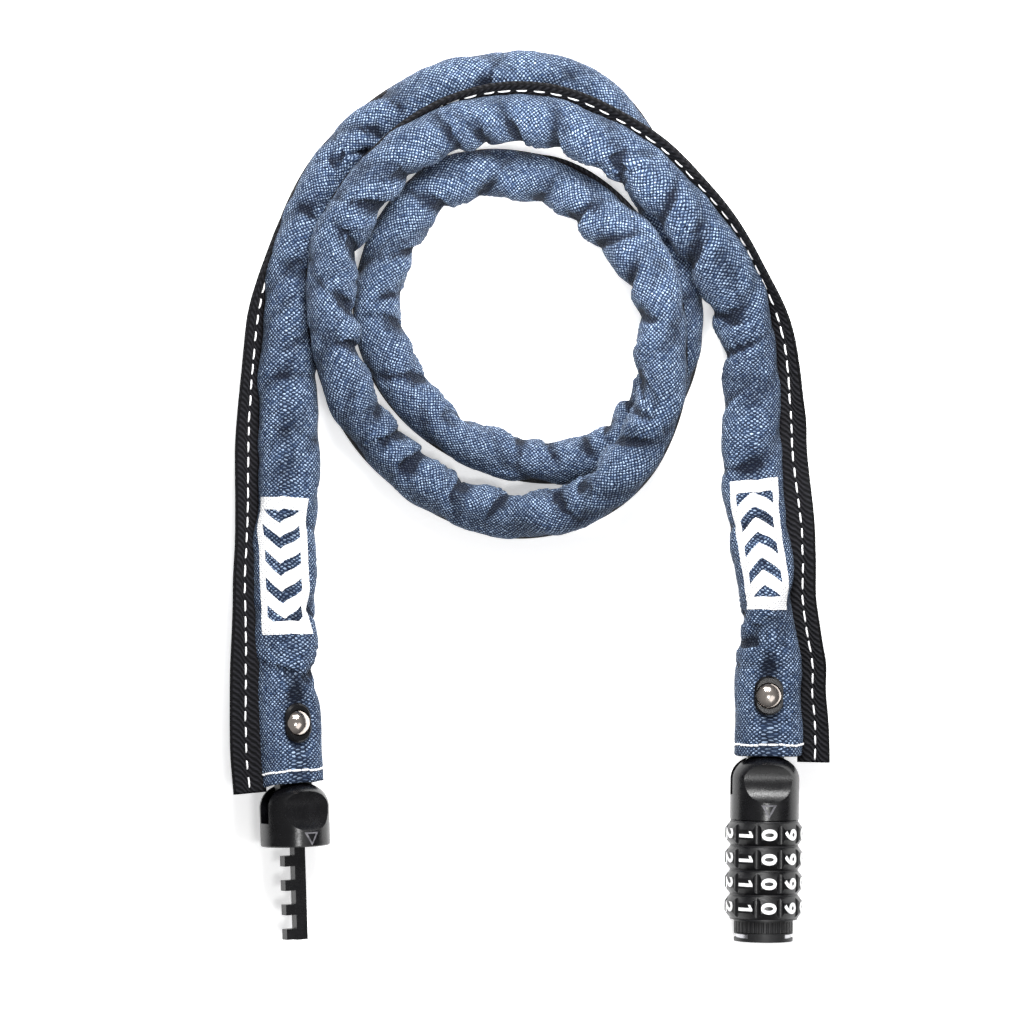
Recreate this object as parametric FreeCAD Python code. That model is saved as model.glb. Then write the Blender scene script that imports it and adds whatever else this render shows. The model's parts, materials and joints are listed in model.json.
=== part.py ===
import FreeCAD, Part
import math
import os

# Sleeved combination chain lock, lying on a flat surface. Millimetres.
# World frame: +Z up, +Y from the lock towards the coil, +X across to the lock's side.
# Each end of the chain has a local frame: origin on the clevis pin, local Z along the axis
# away from the chain, local Y out of the front face, local X across.

Vector = FreeCAD.Vector
X_AXIS, Y_AXIS, Z_AXIS = Vector(1, 0, 0), Vector(0, 1, 0), Vector(0, 0, 1)
ORIGIN = Vector(0, 0, 0)

# ---- sleeve route, from the lock's end to the bolt's end ----
ROUTE = [
    (61.86, -65.5, 10.3), (62.5, -28.5, 10.3), (59.5, -6.5, 6.6), (57.5, 16.0, 6.7),
    (58.8, 35.5, 7.0), (54.5, 51.5, 10.0), (47.4, 65.0, 16.4), (36.5, 78.0, 20.9),
    (23.0, 89.0, 20.9), (8.0, 96.0, 18.4), (-8.0, 98.0, 16.2), (-23.5, 94.5, 16.4),
    (-37.3, 85.5, 18.2), (-47.3, 73.5, 17.2), (-52.5, 60.0, 15.7), (-53.0, 46.0, 15.4),
    (-50.0, 31.0, 13.2), (-44.3, 18.0, 8.9), (-34.0, 6.0, 6.6), (-21.0, -3.0, 6.6),
    (-5.5, -8.0, 8.0), (10.0, -6.0, 13.2), (24.0, 3.0, 19.0), (32.0, 18.0, 20.9),
    (35.0, 33.5, 20.9), (35.0, 48.0, 20.9), (31.0, 61.5, 19.5), (21.5, 72.0, 14.2),
    (9.5, 79.5, 8.4), (-3.0, 84.0, 6.6), (-16.0, 84.0, 6.6), (-27.5, 78.5, 6.6),
    (-35.5, 68.5, 6.6), (-40.0, 56.5, 6.6), (-40.5, 43.5, 6.6), (-36.3, 31.2, 6.6),
    (-28.2, 20.8, 6.6), (-17.5, 12.5, 6.6), (-4.8, 7.8, 6.6), (7.5, 6.6, 6.6),
    (19.0, 9.2, 6.6), (28.7, 16.0, 6.6), (35.5, 26.0, 6.6), (39.0, 38.0, 6.6),
    (39.5, 51.0, 6.6), (37.3, 64.5, 6.6), (33.3, 78.0, 6.6), (28.0, 91.0, 6.6),
    (20.0, 102.0, 6.6), (8.5, 109.0, 6.6), (-5.0, 110.5, 6.6), (-19.5, 107.3, 6.6),
    (-34.0, 99.5, 6.6), (-47.8, 88.3, 6.6), (-57.7, 75.0, 6.6), (-62.9, 60.0, 6.6),
    (-64.0, 41.5, 6.6), (-63.0, 16.0, 6.6), (-63.5, -8.0, 6.7), (-65.0, -32.0, 9.25),
    (-62.57, -72.82, 9.25),
]
ARC_SHARE = 0.45              # share of the shorter run that each arc takes

# ---- how the two ends lie, past the sleeve's mouths ----
LOCK_TILT, BOLT_TILT = -0.6, 1.8          # degrees about world Z
LOCK_ROLL, BOLT_ROLL = 5.0, 31.0          # degrees, front face turned towards +X

# ---- sleeve and chain ----
SLEEVE_R = 6.6                # outer radius where the sleeve is round
SLEEVE_WALL = 0.7
FLAT_HALF_WIDTH, FLAT_HALF_HEIGHT = 8.8, 4.2   # outer half axes where it is pressed flat
FLAT_START, FLAT_END, ROUND_START = 9.5, 27.0, 34.0   # distances from the clevis pin
LINK_WIRE = 3.1
LINK_WIDTH = 10.8             # outside, across the link
LINK_INNER = 13.4             # inside length of a link
LINK_SPACING = 12.9           # aimed at between the centres of neighbours
SECTION_STEP = 9.0            # spacing of the tape's cross-sections
TAPE_WIDTH, TAPE_THICK = 7.2, 1.5
TAPE_SEAM = 0.5               # the seam is sewn this deep into the sleeve
# Tape beside the pressed ends and round the coil: offset outwards, offset upwards and the
# turn of its width in degrees; between them it stands straight out of the sleeve's side.
LOCK_END_TAPE, BOLT_END_TAPE = (12.0, -1.0, -5.0), (10.9, 4.2, -8.0)
COIL_TAPE = (7.1, -1.4, 78.0)
LOCK_FIN_LIFT, BOLT_FIN_LIFT = -0.3, 1.0
TAPE_FLAT_TO, TAPE_FIN_FROM = 18.0, 27.0      # distances from the mouths
LOCK_FIN_TO, BOLT_FIN_TO = 95.0, 150.0        # the straight legs, from the mouths
TAPE_COIL_FROM, TAPE_COIL_TO = 150.0, 215.0   # the coil, from the lock's and bolt's mouth

# ---- connector plates and rivets ----
TONGUE_WIDTH, TONGUE_THICK = 9.6, 3.0
TONGUE_PIN_HOLE_R = 2.06
TONGUE_NOSE_IN, TONGUE_NECK_FROM = 0.2, 1.5   # round nose set in, and where the neck begins
TONGUE_CORNER = 0.7           # corner radius as a share of the half width
RIVET_AT = 21.1               # distance from the clevis pin up the chain
EYE_AT, EYE_R, EYE_BAR = 33.0, 2.5, 2.2
EYE_WIRE_SHIFT = 0.6          # the first link hangs this far towards the rivet
RIVET_R, RIVET_HEAD_R, RIVET_HEAD_HEIGHT = 1.6, 3.45, 1.8
RIVET_CLEARANCE = 0.05
TAIL_R, TAIL_SHARE = 0.8, 0.7             # rivet tail, and how much of the cap it fills
WASHER_FACE = 4.25            # inner face of both washers, from the plate's middle
WASHER_WIDTH, WASHER_LENGTH, WASHER_THICK = 7.6, 10.5, 1.3
WASHER_RECESS = 0.4
REAR_WASHER_R, REAR_WASHER_THICK = 4.0, 0.8
CAP_R, CAP_HEIGHT, CAP_ROUND = 3.0, 1.1, 0.66
WASHER_BEVEL, WASHER_PLAY = 0.585, 0.05

# ---- clevis heads of both ends ----
PIN_R = 2.0
PIN_REAR, PIN_FRONT = -6.45, 4.4
SLOT_HALF = 2.2
SLOT_BOTTOM = 5.0
DOME_BASE, DOME_HEIGHT = 0.8, 6.5
DOME_KNEE, DOME_SHOULDER = 50.0, 25.0     # degrees round the dome's side, from its base
HEAD_CHAMFER = 0.3
SCOOP_CENTRE, SCOOP_OFFSET = 0.5, 15.6
MARK_TOP, MARK_TIP, MARK_HALF, MARK_LINE, MARK_DEPTH = 7.3, 10.9, 2.1, 0.45, 0.25
LOCK_HEAD_R, LOCK_HEAD_END = 9.1, 11.7
BOLT_HEAD_R, BOLT_HEAD_END = 9.2, 11.2

# ---- combination mechanism ----
DIALS = 4
DIGITS = 10
DIAL_FIRST, DIAL_PITCH, DIAL_WIDTH = 15.1, 6.4, 5.9
DIAL_R, DIAL_FACE_R, DIAL_GROOVE_R = 10.2, 9.0, 1.15
DIAL_COUNTERBORE_R, DIAL_BORE_R, DIAL_SPLINE_R = 7.5, 6.75, 7.45
DIAL_CROWN = 0.45             # flat part of the dial's rim, as a share of its width
DIAL_GROOVE_OUT = 0.25        # the grooves' centres lie this far outside the rim
SPLINE_FROM = 1.5             # splined part of the dial's bore, from the dial's middle
SPLINE_PLAY, SPLINE_LEAD = 0.1, 0.5
CODE_R, CODE_RIB_R, CODE_BORE_R, CODE_RIB_WIDTH = 6.65, 7.35, 3.1, 1.2
CODE_FROM, CODE_TO, CODE_RIB_TO = 1.6, 3.4, 2.8      # from the dial's middle
NECK_R, NECK_BORE_R, NECK_PLAY = 5.3, 4.5, 0.05
GATE_HALF = 1.5
CORE_R, CORE_BORE_R = 3.0, 2.55
CORE_ROOT, CORE_WEB_FROM, CORE_WEB_TO, CORE_END = 6.95, 38.7, 39.5, 43.4
CORE_SLOT_HALF, CORE_SLOT_FROM, CORE_FLOOR = 1.4, 12.9, 0.5
SOCKET_BORE_R, SOCKET_R = 4.4, 5.6
CORE_PIN_R, CORE_PIN_AT, CORE_PIN_REAR, CORE_PIN_FRONT = 0.8, 7.85, -8.8, 4.6
SPRING_BORE_R, SPRING_BORE_FROM = 5.8, 8.7
SPRING_R, SPRING_WIRE_HALF, SPRING_TURNS = 4.45, 0.5, 3        # wound from square wire
SPRING_FROM, SPRING_TO = 8.75, 16.65
CLICK_R, CLICK_BORE_R, CLICK_THICK = 8.9, 7.7, 0.34
SLIDER_FROM, SLIDER_TO, SLIDER_R = 37.75, 38.6, 5.9
SET_FROM, SET_TO, SET_STEP, SET_R = 37.75, 41.0, 39.6, 7.75
SET_BORE_R, SET_RIM_BORE_R = 6.0, 5.7
SET_RIBS, SET_RIB_DEPTH, SET_RIB_R, SET_RIB_FROM = 40, 0.25, 0.35, 0.4
CAP_END_FROM = 41.15
RETAINER_FROM, RETAINER_TO, RETAINER_BORE_R, RETAINER_R = 41.5, 42.5, 5.65, 7.2
RETAINER_GAP_HALF = 1.2
WINDOW_HALF, WINDOW_PLAY = 6.0, 0.05

# ---- bolt ----
CAVITY_R, CAVITY_FLOOR = 8.0, 6.1
BOSS_R, BOSS_END = 4.2, 10.0
BLADE_BACK, BLADE_FRONT, BLADE_HALF = -1.1, 2.1, 1.3
TOOTH_REACH, TOOTH_LENGTH, TOOTH_FIRST = 4.1, 2.8, 2.5
BLADE_ROOT, BLADE_LENGTH = 5.6, 24.7
BLADE_PIN_R, BLADE_PIN_AT, BLADE_PIN_IN = 0.6, 8.0, 0.1

MORE = 5.0                    # how far a cutting tool runs past the solid
TOUCH = 0.01                  # closer than this counts as lying on the same face


# ---- frames and small helpers ----

def end_frame(pin, tilt, roll):
    """Frame of a chain end: local Z points away from the chain, local Y out of the front."""
    lie_down = FreeCAD.Rotation(Z_AXIS, tilt) * FreeCAD.Rotation(X_AXIS, 90)
    return FreeCAD.Placement(pin, lie_down * FreeCAD.Rotation(Z_AXIS, -roll))


def tongue_lie(mouth, inside):
    """Clevis pin and tilt of a connector plate that lies in line with the sleeve's end run."""
    mouth, inside = Vector(*mouth), Vector(*inside)
    away = (mouth - inside).normalize()
    return mouth + away * FLAT_START, math.degrees(math.atan2(away.x, -away.y))


LOCK_PIN, LOCK_TONGUE_TILT = tongue_lie(ROUTE[0], ROUTE[1])
BOLT_PIN, BOLT_TONGUE_TILT = tongue_lie(ROUTE[-1], ROUTE[-2])
LOCK_FRAME = end_frame(LOCK_PIN, LOCK_TILT, LOCK_ROLL)
LOCK_TONGUE_FRAME = end_frame(LOCK_PIN, LOCK_TONGUE_TILT, LOCK_ROLL)
BOLT_FRAME = end_frame(BOLT_PIN, BOLT_TILT, BOLT_ROLL)
BOLT_TONGUE_FRAME = end_frame(BOLT_PIN, BOLT_TONGUE_TILT, BOLT_ROLL)


def placed(shape, frame):
    """Copy of a shape, moved from a local frame into the world."""
    moved = shape.copy()
    moved.Placement = frame.multiply(moved.Placement)
    return moved


def cylinder(radius, start, end):
    """Solid cylinder on local Z between two stations."""
    return Part.makeCylinder(radius, end - start, Vector(0, 0, start), Z_AXIS)


def ring(outer, inner, start, end):
    """Plain ring on local Z."""
    return cylinder(outer, start, end).cut(cylinder(inner, start - MORE, end + MORE))


def cross_cylinder(radius, start, end, station, axis=Y_AXIS):
    """Solid cylinder across the local axis, at a station along local Z."""
    return Part.makeCylinder(radius, end - start, Vector(0, 0, station) + axis * start, axis)


def box(x, y, z):
    """Box from three (low, high) pairs."""
    return Part.makeBox(x[1] - x[0], y[1] - y[0], z[1] - z[0], Vector(x[0], y[0], z[0]))


def turned(profile):
    """Solid of revolution about local Z from a closed outline of (radius, station) points."""
    points = [Vector(r, 0, z) for r, z in profile]
    face = Part.Face(Part.makePolygon(points + points[:1]))
    return face.revolve(ORIGIN, Z_AXIS, 360)


def around(shape, count, first=0.0):
    """Copies of a shape at even angles about local Z."""
    copies = []
    for i in range(count):
        copy = shape.copy()
        copy.rotate(ORIGIN, Z_AXIS, first + 360.0 * i / count)
        copies.append(copy)
    return copies


# ---- route of the sleeve ----

def rounded_path(points):
    """Straight runs joined by tangent arcs, each as large as its two runs allow."""
    points = [Vector(*p) for p in points]
    edges = []
    start = points[0]
    for before, corner, after in zip(points, points[1:], points[2:]):
        back, onward = before - corner, after - corner
        reach = ARC_SHARE * min(back.Length, onward.Length)
        back.normalize()
        onward.normalize()
        half_turn = (math.pi - back.getAngle(onward)) / 2
        radius = reach / math.tan(half_turn)
        inward = (back + onward).normalize()
        first, last = corner + back * reach, corner + onward * reach
        middle = corner + inward * (radius / math.cos(half_turn) - radius)
        edges.append(Part.LineSegment(start, first).toShape())
        edges.append(Part.Arc(first, middle, last).toShape())
        start = last
    edges.append(Part.LineSegment(start, points[-1]).toShape())
    return edges


class Track:
    """Points and directions by distance along a chain of edges."""

    def __init__(self, edges):
        self.edges = edges
        self.length = sum(edge.Length for edge in edges)

    def locate(self, distance):
        for edge in self.edges:
            if distance <= edge.Length or edge is self.edges[-1]:
                parameter = edge.getParameterByLength(min(max(distance, 0.0), edge.Length))
                return edge, parameter
            distance -= edge.Length

    def point(self, distance):
        edge, parameter = self.locate(distance)
        return edge.valueAt(parameter)

    def axes(self, distance):
        """Direction, outward side and upward normal at a distance."""
        edge, parameter = self.locate(distance)
        along = edge.tangentAt(parameter).normalize()
        side = along.cross(Z_AXIS).normalize()
        return along, side, side.cross(along)


def swept(edges, radius):
    """Round bar along a path."""
    start = edges[0].valueAt(edges[0].FirstParameter)
    along = edges[0].tangentAt(edges[0].FirstParameter)
    circle = Part.Wire(Part.Circle(start, along, radius).toShape())
    return Part.Wire(edges).makePipeShell([circle], True, False)


# ---- sleeve, tape and chain ----

def flat_section(frame, distance, grow):
    """Oval outline of the pressed sleeve, across the chain at a distance from the pin."""
    ellipse = Part.Ellipse(ORIGIN, FLAT_HALF_WIDTH + grow, FLAT_HALF_HEIGHT + grow)
    wire = Part.Wire(ellipse.toShape())
    wire.Placement = frame.multiply(FreeCAD.Placement(Vector(0, 0, -distance), FreeCAD.Rotation()))
    return wire


def round_section(frame, distance, grow):
    """Round outline of the sleeve, across the chain at a distance from the pin."""
    wire = Part.Wire(Part.Circle(ORIGIN, Z_AXIS, SLEEVE_R + grow).toShape())
    wire.Placement = frame.multiply(FreeCAD.Placement(Vector(0, 0, -distance), FreeCAD.Rotation()))
    return wire


def sleeve_end(frame, grow, past):
    """Pressed end of the sleeve round the connector plate, and its change to round."""
    mouth = flat_section(frame, FLAT_START - past, grow)
    inner = flat_section(frame, FLAT_END, grow)
    outer = round_section(frame, ROUND_START, grow)
    flat = Part.makeLoft([mouth, inner], True, True)
    change = Part.makeLoft([inner, outer], True, True)
    return flat.fuse(change)


def sleeve_form(edges, grow, past):
    """Whole sleeve as a filled form, grown by a distance and run past both mouths."""
    lock_start = LOCK_TONGUE_FRAME.multVec(Vector(0, 0, -ROUND_START))
    bolt_start = BOLT_TONGUE_FRAME.multVec(Vector(0, 0, -ROUND_START))
    run_end = edges[0].valueAt(edges[0].LastParameter)
    run_start = edges[-1].valueAt(edges[-1].FirstParameter)
    middle = [Part.LineSegment(lock_start, run_end).toShape()]
    middle += edges[1:-1]
    middle.append(Part.LineSegment(run_start, bolt_start).toShape())
    form = swept(middle, SLEEVE_R + grow)
    form = form.fuse(sleeve_end(LOCK_TONGUE_FRAME, grow, past))
    return form.fuse(sleeve_end(BOLT_TONGUE_FRAME, grow, past))


def make_sleeve(edges):
    shell = sleeve_form(edges, 0.0, 0.0).cut(sleeve_form(edges, -SLEEVE_WALL, MORE))
    for frame in (LOCK_TONGUE_FRAME, BOLT_TONGUE_FRAME):
        hole = cross_cylinder(RIVET_R + RIVET_CLEARANCE, -MORE, MORE, -RIVET_AT)
        shell = shell.cut(placed(hole, frame))
    return shell.removeSplitter()


def tape_keys(length):
    """Tape cross-sections: distance, offset outwards, offset upwards, turn of its width."""
    fin = SLEEVE_R + TAPE_WIDTH / 2 - TAPE_SEAM
    return [
        (0.0, *LOCK_END_TAPE),
        (TAPE_FLAT_TO, *LOCK_END_TAPE),
        (TAPE_FIN_FROM, fin, LOCK_FIN_LIFT, 0.0),
        (LOCK_FIN_TO, fin, 0.0, 0.0),
        (TAPE_COIL_FROM, *COIL_TAPE),
        (length - TAPE_COIL_TO, *COIL_TAPE),
        (length - BOLT_FIN_TO, fin, 0.0, 0.0),
        (length - TAPE_FIN_FROM, fin, BOLT_FIN_LIFT, 0.0),
        (length - TAPE_FLAT_TO, *BOLT_END_TAPE),
        (length, *BOLT_END_TAPE),
    ]


def between(keys, distance):
    """Values at a distance, in proportion between the two keys beside it."""
    for low, high in zip(keys, keys[1:]):
        if distance <= high[0]:
            share = (distance - low[0]) / (high[0] - low[0])
            return [a + (b - a) * share for a, b in zip(low[1:], high[1:])]
    return list(keys[-1][1:])


def tape_section(track, keys, distance):
    point = track.point(distance)
    _, side, up = track.axes(distance)
    out, lift, turn = between(keys, distance)
    turn = math.radians(turn)
    centre = point + side * out + up * lift
    across = side * math.cos(turn) + up * math.sin(turn)
    through = up * math.cos(turn) - side * math.sin(turn)
    half, thin = across * (TAPE_WIDTH / 2), through * (TAPE_THICK / 2)
    corners = [centre - half - thin, centre + half - thin, centre + half + thin, centre - half + thin]
    return Part.makePolygon(corners + corners[:1])


def make_tape(track):
    """Folded binding tape along the sleeve's seam, on the outer side all the way."""
    keys = tape_keys(track.length)
    count = int(track.length / SECTION_STEP)
    stations = [track.length * i / count for i in range(count + 1)]
    return Part.makeLoft([tape_section(track, keys, s) for s in stations], True, True)


def make_link():
    """One welded link, centred, its length along X and its width along Y."""
    bow_r = (LINK_WIDTH - LINK_WIRE) / 2
    straight = LINK_INNER - (LINK_WIDTH - 2 * LINK_WIRE)
    bow = Part.makeTorus(bow_r, LINK_WIRE / 2, Vector(straight / 2, 0, 0), Z_AXIS, -180, 180, 180)
    bow.rotate(Vector(straight / 2, 0, 0), Z_AXIS, -90)
    other = bow.copy()
    other.rotate(ORIGIN, Z_AXIS, 180)
    solid = bow.fuse(other)
    for y in (-bow_r, bow_r):
        bar = Part.makeCylinder(LINK_WIRE / 2, straight, Vector(-straight / 2, y, 0), X_AXIS)
        solid = solid.fuse(bar)
    return solid.removeSplitter()


def link_stations(track):
    """Distances of the link centres, evenly spaced from eye to eye, odd in number."""
    hang = EYE_AT - EYE_WIRE_SHIFT + (LINK_INNER + LINK_WIRE) / 2 - FLAT_START
    first, last = hang, track.length - hang
    gaps = 2 * round((last - first) / LINK_SPACING / 2)
    return [first + (last - first) * i / gaps for i in range(gaps + 1)]


def make_links(track):
    """Welded chain, each link turned a quarter from the one before."""
    stations = link_stations(track)
    half = (stations[1] - stations[0]) / 2
    pattern = make_link()
    links = []
    for i, station in enumerate(stations):
        before, after = track.point(station - half), track.point(station + half)
        along = (after - before).normalize()
        chord_middle = (before + after) * 0.5
        centre = (track.point(station) + chord_middle) * 0.5
        side = along.cross(Z_AXIS).normalize()
        up = side.cross(along)
        share = i / (len(stations) - 1)
        lean = math.radians(LOCK_ROLL * (1 - share) - BOLT_ROLL * share + 90.0 * i)
        width = up * math.cos(lean) + side * math.sin(lean)
        normal = along.cross(width)
        turn = FreeCAD.Matrix(along.x, width.x, normal.x, centre.x,
                              along.y, width.y, normal.y, centre.y,
                              along.z, width.z, normal.z, centre.z)
        link = pattern.copy()
        link.Placement = FreeCAD.Placement(turn)
        links.append(link)
    return Part.makeCompound(links)


# ---- connector plates and their rivets ----

def make_tongue():
    """Flat plate from the clevis pin to the first link, drilled for pin, rivet and link."""
    half, thin = TONGUE_WIDTH / 2, TONGUE_THICK / 2
    end = EYE_AT + EYE_R + EYE_BAR
    round_end = cross_cylinder(half - TONGUE_NOSE_IN, -thin, thin, 0)
    neck = box((-half, half), (-thin, thin), (-end, -TONGUE_NECK_FROM))
    plate = round_end.fuse(neck).removeSplitter()
    corners = [e for e in plate.Edges
               if e.Length < TONGUE_THICK + TOUCH and e.CenterOfMass.z < TOUCH - end]
    plate = plate.makeFillet(half * TONGUE_CORNER, corners)
    for station, radius in ((0, TONGUE_PIN_HOLE_R), (-RIVET_AT, RIVET_R), (-EYE_AT, EYE_R)):
        plate = plate.cut(cross_cylinder(radius, -MORE, MORE, station))
    return plate


def make_rivet():
    """Domed rivet with a stepped tail for its rear cap."""
    seat = WASHER_FACE + WASHER_THICK - WASHER_RECESS
    rear = -WASHER_FACE - REAR_WASHER_THICK
    ball_r = (RIVET_HEAD_R ** 2 + RIVET_HEAD_HEIGHT ** 2) / (2 * RIVET_HEAD_HEIGHT)
    ball = Part.makeSphere(ball_r, Vector(0, seat + RIVET_HEAD_HEIGHT - ball_r, -RIVET_AT))
    dome = ball.common(cross_cylinder(RIVET_HEAD_R + MORE, seat, seat + MORE, -RIVET_AT))
    shank = cross_cylinder(RIVET_R, rear, seat, -RIVET_AT)
    tail = cross_cylinder(TAIL_R, rear - CAP_HEIGHT * TAIL_SHARE, rear, -RIVET_AT)
    return dome.fuse(shank).fuse(tail)


def make_front_washer():
    """Oval washer with a bevelled rim and a recess for the rivet's head."""
    end_r = WASHER_WIDTH / 2
    offset = WASHER_LENGTH / 2 - end_r
    low, high = WASHER_FACE, WASHER_FACE + WASHER_THICK
    body = box((-end_r, end_r), (low, high), (-RIVET_AT - offset, -RIVET_AT + offset))
    for shift in (-offset, offset):
        body = body.fuse(cross_cylinder(end_r, low, high, -RIVET_AT + shift))
    body = body.removeSplitter()
    rim = [e for e in body.Edges if e.BoundBox.YMin > high - TOUCH]
    body = body.makeChamfer(WASHER_BEVEL, rim)
    recess = cross_cylinder(RIVET_HEAD_R + WASHER_PLAY, high - WASHER_RECESS, high + MORE, -RIVET_AT)
    hole = cross_cylinder(RIVET_R + RIVET_CLEARANCE, 0, high + MORE, -RIVET_AT)
    return body.cut(recess).cut(hole)


def make_rear_washer():
    face = -WASHER_FACE
    disc = cross_cylinder(REAR_WASHER_R, face - REAR_WASHER_THICK, face, -RIVET_AT)
    return disc.cut(cross_cylinder(RIVET_R + RIVET_CLEARANCE, face - MORE, 0, -RIVET_AT))


def make_rivet_cap():
    face = -WASHER_FACE - REAR_WASHER_THICK
    disc = cross_cylinder(CAP_R, face - CAP_HEIGHT, face, -RIVET_AT)
    outer = [e for e in disc.Edges if e.BoundBox.YMax < face - CAP_HEIGHT + TOUCH]
    disc = disc.makeFillet(CAP_ROUND, outer)
    return disc.cut(cross_cylinder(TAIL_R, face - CAP_HEIGHT * TAIL_SHARE, face + MORE, -RIVET_AT))


def on_both_tongues(shape):
    """The same piece at both ends of the chain."""
    return Part.makeCompound([placed(shape, LOCK_TONGUE_FRAME), placed(shape, BOLT_TONGUE_FRAME)])


# ---- clevis heads ----

def domed_bar(radius, end):
    """Round bar with a domed top, from the dome's crown to a flat end."""
    knee_turn, shoulder_turn = math.radians(DOME_KNEE), math.radians(DOME_SHOULDER)
    crown = DOME_BASE - DOME_HEIGHT
    knee_r = radius * math.cos(knee_turn)
    knee = DOME_BASE - DOME_HEIGHT * math.sin(knee_turn)
    shoulder_r = radius * math.cos(shoulder_turn)
    shoulder = DOME_BASE - DOME_HEIGHT * math.sin(shoulder_turn)
    drop = knee - crown
    crown_r = (knee_r ** 2 + drop ** 2) / (2 * drop)
    mid_r = knee_r / 2
    mid = crown + crown_r - math.sqrt(crown_r ** 2 - mid_r ** 2)
    top = Part.Arc(Vector(0, 0, crown), Vector(mid_r, 0, mid), Vector(knee_r, 0, knee))
    side = Part.Arc(Vector(knee_r, 0, knee), Vector(shoulder_r, 0, shoulder),
                    Vector(radius, 0, DOME_BASE))
    rest = Part.makePolygon([Vector(radius, 0, DOME_BASE), Vector(radius, 0, end - HEAD_CHAMFER),
                             Vector(radius - HEAD_CHAMFER, 0, end), Vector(0, 0, end),
                             Vector(0, 0, crown)])
    outline = Part.Wire([top.toShape(), side.toShape()] + rest.Edges)
    return Part.Face(outline).revolve(ORIGIN, Z_AXIS, 360)


def triangle(half, top, tip):
    """Prism of a triangle that points along local Z, through the front face."""
    points = [Vector(-half, 0, top), Vector(half, 0, top), Vector(0, 0, tip)]
    face = Part.Face(Part.makePolygon(points + points[:1]))
    return face.extrude(Vector(0, 2 * LOCK_HEAD_R, 0))


def clevis_head(radius, end):
    """Domed head with a clevis slot, scooped faces, a blind pin hole and an engraved mark."""
    head = domed_bar(radius, end)
    wide = 2 * radius
    head = head.cut(box((-wide, wide), (-SLOT_HALF, SLOT_HALF), (-wide, SLOT_BOTTOM)))
    for offset in (-SCOOP_OFFSET, SCOOP_OFFSET):
        scoop = Part.makeCylinder(radius, 2 * wide, Vector(-wide, offset, SCOOP_CENTRE), X_AXIS)
        head = head.cut(scoop)
    head = head.cut(cross_cylinder(PIN_R, -wide, PIN_FRONT, 0))
    inset = MARK_LINE * 2
    frame = triangle(MARK_HALF, MARK_TOP, MARK_TIP)
    frame = frame.cut(triangle(MARK_HALF - inset, MARK_TOP + MARK_LINE, MARK_TIP - inset))
    skin = ring(radius + MORE, radius - MARK_DEPTH, 0, end)
    return head.cut(frame.common(skin))


def make_pivot_pin():
    return cross_cylinder(PIN_R, PIN_REAR, PIN_FRONT, 0)


def make_lock_housing():
    head = clevis_head(LOCK_HEAD_R, LOCK_HEAD_END)
    head = head.cut(cylinder(CORE_R, CORE_ROOT, LOCK_HEAD_END))
    head = head.cut(cylinder(SPRING_BORE_R, SPRING_BORE_FROM, LOCK_HEAD_END + MORE))
    return head.cut(cross_cylinder(CORE_PIN_R, CORE_PIN_REAR - MORE, CORE_PIN_FRONT, CORE_PIN_AT))


def make_bolt_head():
    head = clevis_head(BOLT_HEAD_R, BOLT_HEAD_END)
    head = head.cut(ring(CAVITY_R, BOSS_R, CAVITY_FLOOR, BOLT_HEAD_END + MORE))
    head = head.cut(cylinder(CAVITY_R, BOSS_END, BOLT_HEAD_END + MORE))
    head = head.cut(blade_bar(BLADE_ROOT, BOLT_HEAD_END))
    return head.cut(cross_cylinder(BLADE_PIN_R, -BOSS_R, BOSS_R, BLADE_PIN_AT))


# ---- combination mechanism ----

def dial_middle(k):
    return DIAL_FIRST + DIAL_PITCH * k


def make_core_tube():
    """Slotted tube that guides the blade, opening into a wider socket at its end."""
    body = cylinder(CORE_R, CORE_ROOT, CORE_WEB_FROM).fuse(
        cylinder(SOCKET_R, CORE_WEB_FROM, CORE_END))
    body = body.cut(cylinder(CORE_BORE_R, CORE_ROOT + CORE_FLOOR, CORE_END))
    body = body.cut(cylinder(SOCKET_BORE_R, CORE_WEB_TO, CORE_END + MORE))
    slot = box((-SOCKET_BORE_R, 0), (-CORE_SLOT_HALF, CORE_SLOT_HALF),
               (CORE_SLOT_FROM, CORE_WEB_TO))
    body = body.cut(slot)
    return body.cut(cross_cylinder(CORE_PIN_R, -MORE, MORE, CORE_PIN_AT))


def make_core_pin():
    return cross_cylinder(CORE_PIN_R, CORE_PIN_REAR, CORE_PIN_FRONT, CORE_PIN_AT)


def make_return_spring():
    low, high = SPRING_FROM + SPRING_WIRE_HALF, SPRING_TO - SPRING_WIRE_HALF
    helix = Part.makeHelix((high - low) / SPRING_TURNS, high - low, SPRING_R)
    corners = [Vector(SPRING_R + x * SPRING_WIRE_HALF, 0, z * SPRING_WIRE_HALF)
               for x, z in ((-1, -1), (1, -1), (1, 1), (-1, 1))]
    wire = Part.makePolygon(corners + corners[:1])
    spring = Part.Wire(helix.Edges).makePipeShell([wire], True, True)
    spring.translate(Vector(0, 0, low))
    return spring


def make_click_washers():
    """Thin washers in the gaps before, between and after the dials."""
    gap = DIAL_PITCH / 2
    stations = [dial_middle(k) - gap for k in range(DIALS + 1)]
    half = CLICK_THICK / 2
    return Part.makeCompound([ring(CLICK_R, CLICK_BORE_R, s - half, s + half) for s in stations])


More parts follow.
